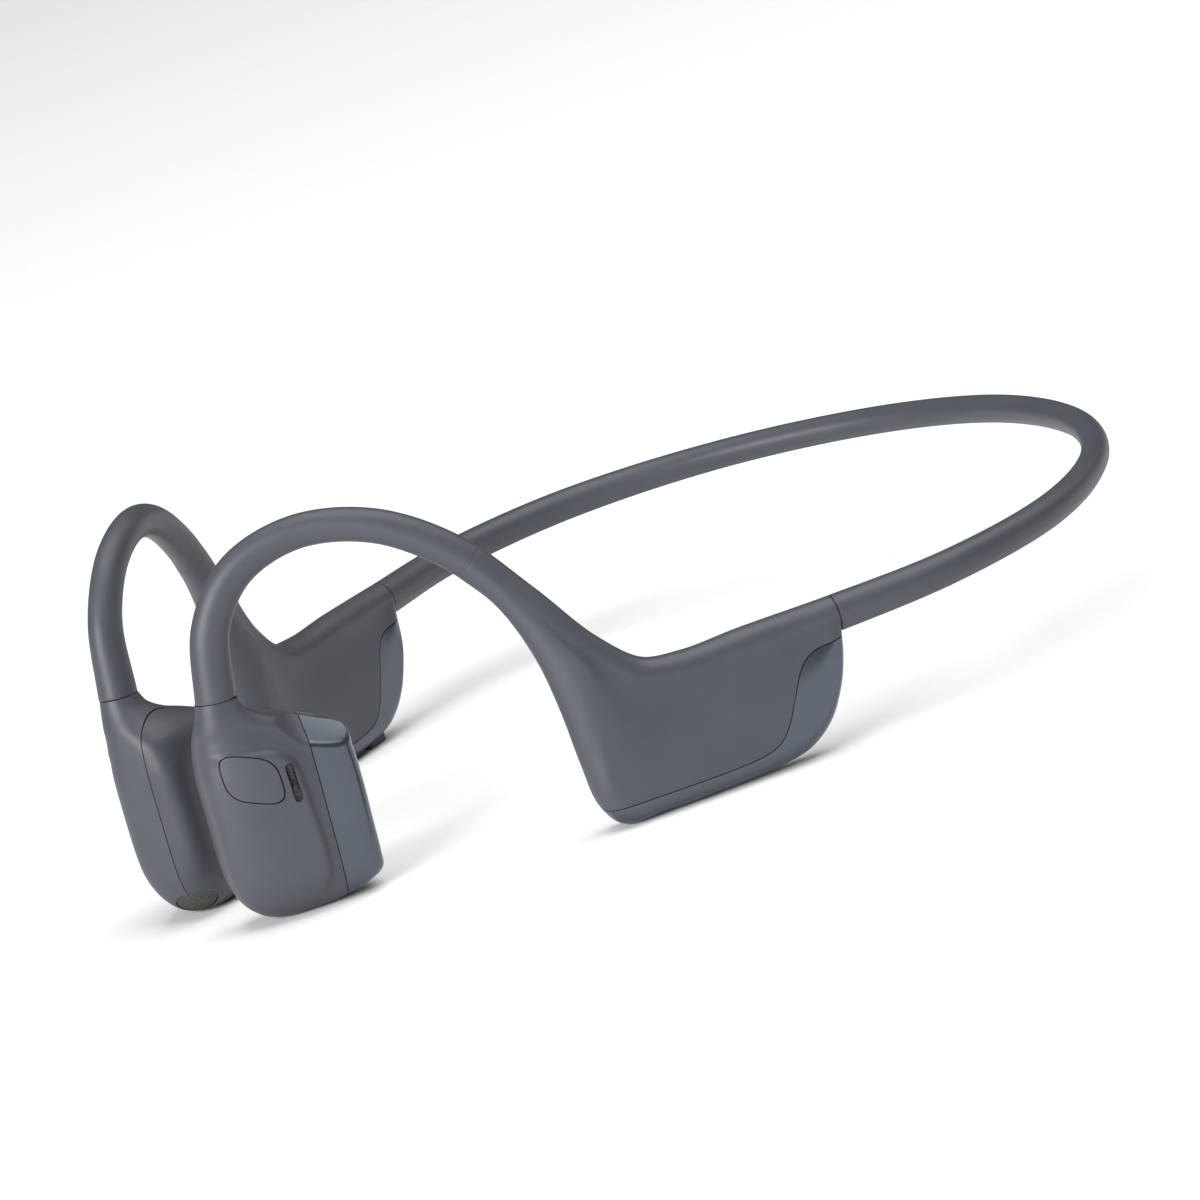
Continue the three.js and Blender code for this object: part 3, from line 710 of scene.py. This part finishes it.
# ------------------------------------------------------------ housing
SEAM_SAMPLES = 200
SEAM_CURVE = np.array([uniform_curve(COVER_SEAM, place)
                       for place in np.linspace(0, len(COVER_SEAM) - 1, SEAM_SAMPLES)])[::-1]
SEAM_STEP = 0.2
HOUSING_ROWS = 190
ARCH_COLUMNS = 25
OUTLINE_SAMPLES = 600         # points used to measure along the lower outline
SIDE_SAMPLES = 80             # points used to find the seam down a side
LEAST_REACH = 0.1
TINY = 1e-6
GROWTH_REACH = 6              # depth below the tube at which the housing has its full section
WIDEST_SHARE = 0.66           # share of the flat side by which it is at its full width
FRONT_ROLL = 5.5              # the front edge rolls over more broadly than the lower edge
FRONT_ROLL_FROM = 7.4         # station at which that starts to fade
FRONT_ROLL_FADE = 0.9


def seam_distance(s, z):
    """How far a point of the side view is above the cover seam."""
    height = np.interp(s, SEAM_CURVE[:, 0], SEAM_CURVE[:, 1])
    slope = (np.interp(s + SEAM_STEP, SEAM_CURVE[:, 0], SEAM_CURVE[:, 1]) - height) / SEAM_STEP
    return (z - height) / np.hypot(1, slope)


HALF_AT_START = np.interp(HOUSING_START, range(len(HALF_HEIGHTS)), HALF_HEIGHTS)


def first_edge_point():
    """The lower outline starts on the underside of the tube."""
    above = spine_axes(HOUSING_START)[2]
    under = spine_at(HOUSING_START) - above * HALF_AT_START
    s, z, _ = local_to(HOUSING, under)
    return (HOUSING_START, s, z)


EDGE = np.array([first_edge_point(), *HOUSING_EDGE], float)


class HousingRing:
    """The housing's section at one place: an arch over the spine, and both sides down."""

    def __init__(self, place):
        station, s, z = centripetal_curve(EDGE, place)
        self.top = spine_at(station)
        bottom = placed(HOUSING, (s, z, local_to(HOUSING, self.top)[2]))
        tangent, outward, self.above = spine_axes(station)
        down = bottom - self.top
        reach = max(np.linalg.norm(down), LEAST_REACH)
        self.down = down / reach
        self.across = unit(np.cross(tangent, self.down))
        if self.across.dot(outward) < 0:
            self.across = -self.across
        self.height = half_height(station)
        self.crown = half_width(station)
        grown = smooth((reach - self.height) / GROWTH_REACH)
        self.half = blend_values(self.crown, HOUSING_HALF_WIDTH, grown)
        front = 1 - smooth((station - FRONT_ROLL_FROM) / FRONT_ROLL_FADE)
        rounding = blend_values(HOUSING_EDGE_ROUND, FRONT_ROLL, front)
        self.round = min(blend_values(self.height, rounding, grown), reach)
        self.straight = reach - self.round
        self.travel = self.straight + self.round * math.pi / 2

    def side_point(self, travel, sign):
        """The point a distance down the side, measured along the surface."""
        if travel <= self.straight:
            depth = travel
            widened = max(self.straight, TINY) * WIDEST_SHARE
            width = blend_values(self.crown, self.half, smooth(travel / widened))
        else:
            angle = min((travel - self.straight) / self.round, math.pi / 2)
            depth = self.straight + self.round * math.sin(angle)
            width = self.half * math.cos(angle)
        return self.top + self.down * depth + self.across * width * sign

    def seam_travel(self, sign, offset):
        """How far down the side the seam lies, or the whole travel if it misses."""
        steps = np.linspace(0, self.travel, SIDE_SAMPLES)
        points = local_to(HOUSING, [self.side_point(step, sign) for step in steps])
        above = seam_distance(points[:, 0], points[:, 1]) - offset
        below = np.nonzero(above < 0)[0]
        if len(below) == 0 or below[0] == 0:
            return self.travel
        last = below[0]
        share = above[last - 1] / (above[last - 1] - above[last])
        return blend_values(steps[last - 1], steps[last], share)

    def arch(self):
        angles = np.linspace(math.pi, 0, ARCH_COLUMNS)
        return [self.top + self.above * self.height * math.sin(angle)
                - self.across * self.crown * math.cos(angle) for angle in angles]


# Shares of the way to a seam, crowded towards its edge so that the shading stays crisp.
TO_EDGE = np.append(np.linspace(0, 0.97, 30), [0.985, 0.995, 1.0])


def shell_row(ring):
    limits = {sign: ring.seam_travel(sign, SEAM_GAP / 2) for sign in (1, -1)}
    near = [ring.side_point(limits[1] * share, 1) for share in TO_EDGE[:0:-1]]
    far = [ring.side_point(limits[-1] * share, -1) for share in TO_EDGE[1:]]
    return near + ring.arch() + far


def cover_row(ring):
    rows = []
    for sign in (1, -1):
        limit = ring.seam_travel(sign, -SEAM_GAP / 2)
        side = [ring.side_point(blend_values(ring.travel, limit, share), sign)
                for share in TO_EDGE[::-1]]
        rows.append(side)
    return rows[0] + rows[1][-2::-1]


def housing_places():
    """Places along the lower outline at even spacing on it."""
    fine = np.linspace(0, len(EDGE) - 1, OUTLINE_SAMPLES)
    points = np.array([centripetal_curve(EDGE, place)[1:] for place in fine])
    length = np.append(0, np.cumsum(np.linalg.norm(np.diff(points, axis=0), axis=1)))
    return np.interp(np.linspace(0, length[-1], HOUSING_ROWS), length, fine)


def stadium(start, end, half, count=12):
    """Outline of a rounded bar between two points of a side view."""
    start, end = np.array(start, float), np.array(end, float)
    angle = math.atan2(*(end - start)[::-1])
    turn = np.linspace(-math.pi / 2, math.pi / 2, count)

    def arc(centre, facing):
        return centre + half * np.column_stack([np.cos(facing + turn), np.sin(facing + turn)])

    return np.vstack([arc(end, angle), arc(start, angle + math.pi)])


def bar_outline(s, half, grow=0.0):
    long, wide = half
    return stadium((s - long + wide, 0), (s + long - wide, 0), wide + grow)


def upright(outline, levels):
    """Rows of an outline of the housing's plan view, as (height, growth) levels."""
    rows = []
    centre = outline.mean(0)
    for z, grow in levels:
        directions = outline - centre
        scale = 1 + grow / np.linalg.norm(directions, axis=1, keepdims=True)
        moved = centre + directions * scale
        rows.append(placed(HOUSING, np.column_stack([moved[:, 0], np.full(len(moved), z),
                                                     moved[:, 1]])))
    return rows


# Rows of upright parts, as (height, growth): the cutters go right through the cover.
KEY_WELL = [(-1, 0), (3, 0)]
PORT_WELL = [(-1, 0), (5, 0)]
KEY_CLEARANCE = 0.12
PORT_CLEARANCE = 0.05
SHELL_EDGE = 0.03
COVER_EDGE = 0.04
KEY_LEVELS = [(-0.06, -0.5), (-0.06, -0.3), (-0.02, -0.14), (0.06, -0.04), (0.16, 0), (1.4, 0),
              (1.85, 0)]
SOCKET_OUTSIDE = [(0.3, -0.06), (0.24, -0.02), (0.24, 0), (4.6, 0)]
SOCKET_INSIDE = [(4.2, -0.35), (0.5, -0.35), (0.36, -0.3), (0.3, -0.2), (0.3, -0.06)]


def make_housing(side):
    rings = [HousingRing(place) for place in housing_places()]
    shell = mesh_object(f"housing_shell_{side}_fine",
                        *grid([shell_row(ring) for ring in rings], wrap_columns=False), side)
    soften(thicken(shell), SHELL_EDGE, FINE_MERGE)
    finish_piece(shell, f"{side}_side", shell_lacquer, "soft_shell", f"housing_shell_{side}")
    covered = [index for index, ring in enumerate(rings)
               if min(ring.seam_travel(1, -SEAM_GAP / 2),
                      ring.seam_travel(-1, -SEAM_GAP / 2)) < ring.travel]
    first, last = covered[0] - 1, min(covered[-1] + 2, len(rings))
    cover = mesh_object(f"housing_cover_{side}_fine",
                        *grid([cover_row(ring) for ring in rings[first:last]],
                              wrap_columns=False), side)
    thicken(cover)
    if side == "right":
        for s in VOLUME_KEYS.values():
            cut(cover, *grid(upright(bar_outline(s, VOLUME_HALF, KEY_CLEARANCE), KEY_WELL),
                             caps=(0, -1)), side)
        cut(cover, *grid(upright(bar_outline(PORT_S, PORT_HALF, PORT_CLEARANCE), PORT_WELL),
                         caps=(0, -1)), side)
    soften(cover, COVER_EDGE, FINE_MERGE)
    finish_piece(cover, f"{side}_side", satin_cover, "satin_cover", f"housing_cover_{side}")


def make_volume_keys():
    for name, s in VOLUME_KEYS.items():
        outline = bar_outline(s, VOLUME_HALF)
        obj = mesh_object(f"{name}_key", *grid(upright(outline, KEY_LEVELS), caps=(0, -1)))
        finish_piece(shade(obj), f"{name}_key", key_plastic, "key_plastic", f"{name}_button")


def make_socket():
    rows = upright(bar_outline(PORT_S, PORT_HALF), SOCKET_OUTSIDE + SOCKET_INSIDE)
    obj = mesh_object("charging_socket_liner", *grid(rows))
    finish_piece(shade(obj), "right_side", steel, "steel", "charging_socket")


# ------------------------------------------------------------ pod
POD_ROWS = 130
QUADRANT = 44                 # columns in each quarter of a pod ring
QUARTER_SAMPLES = 400         # points used to measure along each quarter
FOOT_SHARES = (0.75, 0.5, 0.25, 0.02)
CAP_EDGE = 0.07
PAD_EDGE = 0.08
SKIN_SOFTNESS = 0.5           # how gently the pad meets the flat that lies on the skin
# Raised area of the outer face: its rear edge [a at z], its top edge, and its soft step.
PLATEAU_REAR = ([0, 2, 4.5, 7.2, 12.7, 17.5, 20], [-3.4, -5.2, -6.5, -6.7, -6.5, -6.2, -6.0])
PLATEAU_TOP = 20.3
PLATEAU_TOP_SLOPE = 0.22
PLATEAU_CORNER = 2.6
PLATEAU_RISE = 0.6
PLATEAU_STEP = 0.8
PLATEAU_FRONT = 4.4
PLATEAU_FRONT_FADE = 8.0
PLATEAU_FOOT_FADE = 5.0
STRIP_DROP = 0.35             # the face outside the plateau falls away towards the cap
STRIP_WIDTH = 2.4
STRIP_FADE = 9.0
# Bevel above a sloping line of the outer face, behind the plateau: a point on the line, its
# rise forward, how steeply it leans in, how soft its crease is, and how it ends forward.
REAR_BEVEL_A = -8.2
REAR_BEVEL_Z = 18.5
REAR_BEVEL_RISE = 0.42
REAR_BEVEL_LEAN = 1.0
REAR_BEVEL_SOFT = 0.35
REAR_BEVEL_FROM = -8.0
REAR_BEVEL_FADE = 5.0
REAR_BEVEL_LIFT = 4.0
OUTER_FACE = 2.8
REAR_SQUARENESS = 1.7         # the outer rear edge is squarer than the rest by this factor


def soft_floor(values, limit, softness):
    """Values kept above a limit, turning gently just above it."""
    knee = limit + softness
    return np.where(values < knee, knee - softness * np.tanh((knee - values) / softness), values)


def plateau(a, z, b):
    """Height of the raised area over the plain outer face."""
    rear = a - np.interp(z, *PLATEAU_REAR)
    top = PLATEAU_TOP + PLATEAU_TOP_SLOPE * a - z
    corner = np.stack([PLATEAU_CORNER - rear, PLATEAU_CORNER - top])
    outside = np.linalg.norm(np.maximum(corner, 0), axis=0) + np.minimum(corner.max(0), 0)
    inside = PLATEAU_CORNER - outside
    strip = STRIP_DROP * smooth(-inside / STRIP_WIDTH) * smooth((PLATEAU_FRONT - a) / STRIP_FADE)
    front_fade = smooth((PLATEAU_FRONT - a) / PLATEAU_FRONT_FADE)
    foot_fade = smooth(z / PLATEAU_FOOT_FADE)
    step = smooth(inside / PLATEAU_STEP + 0.5)
    rise = PLATEAU_RISE * step * front_fade * foot_fade
    return (rise - strip * foot_fade) * smooth((b + 0.5) / 2.5)


def rear_ceiling(a, z):
    """How far out the upper rear of the outer face may reach: it leans in to the top edge."""
    line = REAR_BEVEL_Z + REAR_BEVEL_RISE * (a - REAR_BEVEL_A)
    forward = REAR_BEVEL_LIFT * smooth((a - REAR_BEVEL_FROM) / REAR_BEVEL_FADE)
    return OUTER_FACE - REAR_BEVEL_LEAN * (z - line) + forward


def pod_ring(section):
    front_a, front_z, rear_a, rear_z, outer, inner, square = section
    angles = np.linspace(0, 2 * math.pi, 4 * QUARTER_SAMPLES + 1)
    cosine, sine = np.cos(angles), np.sin(angles)
    squareness = np.where((cosine < 0) & (sine > 0), square * REAR_SQUARENESS, square)
    u = np.sign(cosine) * np.abs(cosine) ** (2 / squareness)
    v = np.sign(sine) * np.abs(sine) ** (2 / squareness)
    a = (front_a + rear_a) / 2 + (front_a - rear_a) / 2 * u
    z = (front_z + rear_z) / 2 + (front_z - rear_z) / 2 * u
    b = soft_floor((outer + inner) / 2 + (outer - inner) / 2 * v, PAD_FLAT, SKIN_SOFTNESS)
    points = np.column_stack([a, z, b])
    length = np.append(0, np.cumsum(np.linalg.norm(np.diff(points, axis=0), axis=1)))
    quarters = length[::QUARTER_SAMPLES]
    stops = np.concatenate([np.linspace(start, end, QUADRANT, endpoint=False)
                            for start, end in zip(quarters[:-1], quarters[1:])])
    ring = np.column_stack([np.interp(stops, length, points[:, axis]) for axis in range(3)])
    ring[:, 2] += plateau(*ring.T)
    ceiling = rear_ceiling(ring[:, 0], ring[:, 1])
    ring[:, 2] = -soft_floor(-ring[:, 2], -ceiling, REAR_BEVEL_SOFT)
    return placed(POD, ring)


def pod_surface():
    places = np.linspace(0, len(POD_SECTIONS) - 1, POD_ROWS)
    rows = [pod_ring(uniform_curve(POD_SECTIONS, place)) for place in places]
    foot = rows[-1]
    centre = foot.mean(0)
    rows += [centre + (foot - centre) * share for share in FOOT_SHARES]
    return grid(rows, caps=(-1,))


def kept_side(obj, side, point, normal):
    """Cuts the object's skin by a plane of the pod frame and keeps the side it faces."""
    axes = POD[0]
    place = placed(POD, point) * MILLIMETRE
    direction = np.array(normal) @ axes
    if side == "left":
        place, direction = mirrored(place), mirrored(direction)
    work = bmesh.new()
    work.from_mesh(obj.data)
    bmesh.ops.bisect_plane(work, geom=work.verts[:] + work.edges[:] + work.faces[:],
                           plane_co=place, plane_no=direction, clear_inner=True, dist=1e-7)
    work.to_mesh(obj.data)
    work.free()
    return obj


def cap_plane(offset):
    """A point and normal of the seam before the rear cap, facing forward."""
    (top_a, top_z), (low_a, low_z) = CAP_SEAM
    along = unit(np.array([low_a - top_a, low_z - top_z]))
    normal = np.array([-along[1], along[0], 0])
    return (top_a + normal[0] * offset, top_z + normal[1] * offset, 0), normal


def button_outline(grow=0.0, scale=1.0, count=72):
    wide, tall = BUTTON_HALF
    angles = np.linspace(0, 2 * math.pi, count, endpoint=False)
    cosine, sine = np.cos(angles), np.sin(angles)
    u = np.sign(cosine) * np.abs(cosine) ** BUTTON_POWER * (wide + grow) * scale
    v = np.sign(sine) * np.abs(sine) ** BUTTON_POWER * (tall + grow) * scale
    return np.column_stack([BUTTON_CENTRE[0] + u, BUTTON_CENTRE[1] + v + BUTTON_SKEW * u])


def grille_outline(grow=0.0, scale=1.0, count=72):
    wide, tall = GRILLE_HALF
    return circle(count) * ((wide + grow) * scale, (tall + grow) * scale)


RAY_START = 20                # outside the pod in every view


class Skin:
    """The pod's outer skin, to lay small parts on."""

    def __init__(self, points, faces):
        self.tree = BVHTree.FromPolygons([Vector(point) for point in points], faces)

    def depth(self, local_frame, x, y):
        """How far out the skin is at a place of a frame's own view."""
        origin = Vector(placed(local_frame, (x, y, RAY_START)))
        direction = Vector(-local_frame[0][2])
        hit = self.tree.ray_cast(origin, direction)[0]
        return None if hit is None else local_to(local_frame, hit)[2]


def patch_levels(first, last, count, drop, rim):
    """Scales and drops of a patch: an even field, then a rim of (scale, drop) pairs."""
    rim_scales, rim_drops = zip(*rim)
    return (np.append(np.linspace(first, last, count), rim_scales),
            np.append(np.full(count, drop), rim_drops))


def patch_rows(skin, local_frame, outline_at, scales, drops, relief=None):
    """Rings from the middle out on the skin, each lowered by its drop."""
    rows = []
    known = 0.0
    for scale, drop in zip(scales, drops):
        row = []
        for x, y in outline_at(scale):
            depth = skin.depth(local_frame, x, y)
            known = known if depth is None else depth
            lifted = relief(x, y) if relief else 0
            row.append((x, y, known - drop + lifted))
        rows.append(placed(local_frame, row))
    return rows


# Small parts laid on the skin: rows, how deep the field lies, and the rim's (scale, drop).
GRILLE_ROWS = 46
GRILLE_COLUMNS = 110
GRILLE_GROWTH = 0.02
GRILLE_SUNK = 0.12
GRILLE_RIM = [(1.0, 0.16), (1.0, 0.9)]
GRILLE_PITCH = 0.32
GRILLE_RELIEF = 0.03
BUTTON_ROWS = 24
BUTTON_PROUD = 0.03
BUTTON_RIM = [(0.97, -0.025), (0.985, 0.0), (1.0, 0.08), (1.0, 0.3), (1.0, 1.1)]
MIC_ROWS = 14
MIC_END_COLUMNS = 20
MIC_GAP = 0.03
MIC_SUNK = 0.45
MIC_RIM = [(1.0, 0.85)]
MIC_PITCH = 0.33
MIC_RELIEF = 0.05
# Depths of the cutters through the pod's wall.
GRILLE_CLEARANCE = 0.08
GRILLE_CUT = (-3, 6)
FACE_CUT = (0.5, 8)


def weave(x, y, pitch, relief):
    """Height of a woven cloth: bumps and pits in a square pattern."""
    return relief * math.sin(2 * math.pi * x / pitch) * math.sin(2 * math.pi * y / pitch)


def make_pod(side):
    body = f"{side}_side"
    points, faces = pod_surface()
    skin = Skin(points, faces)
    half_gap = SEAM_GAP / 2
    grille_cut = prism(grille_outline(GRILLE_CLEARANCE), GRILLE, *GRILLE_CUT)

    shell = mesh_object(f"pod_shell_{side}_fine", points, faces, side)
    kept_side(shell, side, (0, 0, PAD_SPLIT + half_gap), (0, 0, 1))
    kept_side(shell, side, *cap_plane(half_gap))
    thicken(shell)
    cut(shell, *grille_cut, side)
    if side == "left":
        cut(shell, *prism(button_outline(BUTTON_GAP), POD, *FACE_CUT), side)
        cut(shell, *prism(stadium(SLOT_TOP, SLOT_BOTTOM, SLOT_HALF_WIDTH), POD, *FACE_CUT), side)
    soften(shell)
    finish_piece(shell, body, shell_lacquer, "soft_shell", f"pod_shell_{side}")

    cap = mesh_object(f"pod_cap_{side}_fine", points, faces, side)
    kept_side(cap, side, (0, 0, PAD_SPLIT + half_gap), (0, 0, 1))
    seam_point, seam_normal = cap_plane(-half_gap)
    kept_side(cap, side, seam_point, -seam_normal)
    soften(thicken(cap), CAP_EDGE)
    finish_piece(cap, body, satin_cover, "satin_cover", f"pod_cap_{side}")

    pad = mesh_object(f"pod_pad_{side}_fine", points, faces, side)
    kept_side(pad, side, (0, 0, PAD_SPLIT - half_gap), (0, 0, -1))
    thicken(pad)
    cut(pad, *grille_cut, side)
    soften(pad, PAD_EDGE)
    finish_piece(pad, body, shaded_pad_rubber, "soft_shell", f"pod_pad_{side}")

    rows = patch_rows(skin, GRILLE,
                      lambda scale: grille_outline(GRILLE_GROWTH, scale, GRILLE_COLUMNS),
                      *patch_levels(0.02, 0.97, GRILLE_ROWS, GRILLE_SUNK, GRILLE_RIM),
                      lambda x, y: weave(x, y, GRILLE_PITCH, GRILLE_RELIEF))
    grille = mesh_object(f"pod_grille_{side}_woven", *grid(rows, caps=(0, -1)), side)
    finish_piece(shade(grille), body, grille_cloth, "grille_mesh", f"pod_grille_{side}")
    return skin


def make_button(skin):
    """The multifunction key follows the pod's face, with a small rounded edge."""
    rows = patch_rows(skin, POD, lambda scale: button_outline(0, scale),
                      *patch_levels(0.02, 0.94, BUTTON_ROWS, -BUTTON_PROUD, BUTTON_RIM))
    obj = mesh_object("multifunction_key_cap", *grid(rows, caps=(0, -1)), "left")
    finish_piece(shade(obj), "multifunction_key", key_plastic, "key_plastic",
                 "multifunction_button")


def make_mic_mesh(skin):
    centre = (np.array(SLOT_TOP) + SLOT_BOTTOM) / 2
    full = stadium(SLOT_TOP, SLOT_BOTTOM, SLOT_HALF_WIDTH - MIC_GAP, MIC_END_COLUMNS)
    rows = patch_rows(skin, POD, lambda scale: centre + (full - centre) * scale,
                      *patch_levels(0.03, 1.0, MIC_ROWS, MIC_SUNK, MIC_RIM),
                      lambda x, y: weave(x, y, MIC_PITCH, MIC_RELIEF))
    obj = mesh_object("mic_mesh_woven", *grid(rows, caps=(0, -1)), "left")
    finish_piece(shade(obj), "left_side", mic_cloth, "grille_mesh", "mic_mesh")


# ------------------------------------------------------------ carried-over inner parts
INNER_MATERIALS = {
    "transducer_bracket": steel, "transducer_magnet": steel, "board_shield": steel,
    "switch": steel, "mic_capsule": steel, "transducer_coil": copper,
    "main_board": board, "pod_board": board, "battery_board": board,
    "battery_right": foil, "battery_left": foil, "air_speaker": jacket,
    "charging_tongue": jacket,
}


def paint_inner_parts():
    for name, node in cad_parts.items():
        if node.hide_render:
            continue
        for part, material in INNER_MATERIALS.items():
            if part in name:
                node.data.materials.clear()
                node.data.materials.append(material)


# ------------------------------------------------------------ build
make_neckband()
for side in SIDES:
    make_ear_hook(side)
    make_housing(side)
    pod_skin = make_pod(side)
make_volume_keys()
make_socket()
make_button(pod_skin)
make_mic_mesh(pod_skin)
paint_inner_parts()

# ------------------------------------------------------------ stage
FLOOR_HALF = 3.0              # metres
LIGHT_TARGET = Vector((0.0, 0.0, 0.02))


def add_floor():
    points = [(-FLOOR_HALF, -FLOOR_HALF, 0), (FLOOR_HALF, -FLOOR_HALF, 0),
              (FLOOR_HALF, FLOOR_HALF, 0), (-FLOOR_HALF, FLOOR_HALF, 0)]
    mesh = bpy.data.meshes.new("floor")
    mesh.from_pydata(points, [], [(0, 1, 2, 3)])
    mesh.materials.append(paper_floor("floor_paper", (250, 250, 250)))
    floor = bpy.data.objects.new("floor", mesh)
    bpy.context.scene.collection.objects.link(floor)


def add_light(name, place, size, power):
    light = bpy.data.lights.new(name, "AREA")
    light.shape = "RECTANGLE"
    light.size, light.size_y = size
    light.energy = power
    obj = bpy.data.objects.new(name, light)
    obj.location = place
    obj.rotation_euler = (LIGHT_TARGET - obj.location).to_track_quat("-Z", "Y").to_euler()
    bpy.context.scene.collection.objects.link(obj)


def add_world(strength):
    world = bpy.data.worlds.new("studio")
    world.use_nodes = True
    background = world.node_tree.nodes["Background"]
    background.inputs["Color"].default_value = (0.95, 0.97, 1.0, 1)
    background.inputs["Strength"].default_value = strength
    bpy.context.scene.world = world


CAMERA_AZIMUTH = math.radians(56.47)      # from the front towards the wearer's left
CAMERA_ELEVATION = math.radians(12.63)
CAMERA_ROLL = math.radians(-16.68)
CAMERA_TARGET = np.array([0.0021, -0.0016, 0.0150])
CAMERA_DISTANCE = 1.223
CAMERA_LENS = 318.66
SENSOR = 36.0


def add_camera():
    back = np.array([-math.cos(CAMERA_ELEVATION) * math.sin(CAMERA_AZIMUTH),
                     math.cos(CAMERA_ELEVATION) * math.cos(CAMERA_AZIMUTH),
                     math.sin(CAMERA_ELEVATION)])
    level = unit(np.cross(-back, (0, 0, 1)))
    upright_axis = np.cross(level, -back)
    right = level * math.cos(CAMERA_ROLL) + upright_axis * math.sin(CAMERA_ROLL)
    up = np.cross(back, right)
    camera = bpy.data.cameras.new("camera")
    camera.lens = CAMERA_LENS
    camera.sensor_width = SENSOR
    camera.clip_end = 20
    obj = bpy.data.objects.new("camera", camera)
    obj.matrix_world = Matrix(np.column_stack([right, up, back]).tolist()).to_4x4()
    obj.location = CAMERA_TARGET + back * CAMERA_DISTANCE
    bpy.context.scene.collection.objects.link(obj)
    bpy.context.scene.camera = obj


add_floor()
add_light("top", (-0.15, -0.2, 1.1), (1.2, 1.2), 14)
add_light("front", (-0.35, 1.2, 0.45), (0.8, 0.6), 21)
add_light("rear", (-0.1, -1.1, 0.8), (0.7, 0.7), 1.5)
add_world(0.12)
add_camera()
bpy.context.scene.view_settings.view_transform = "Standard"
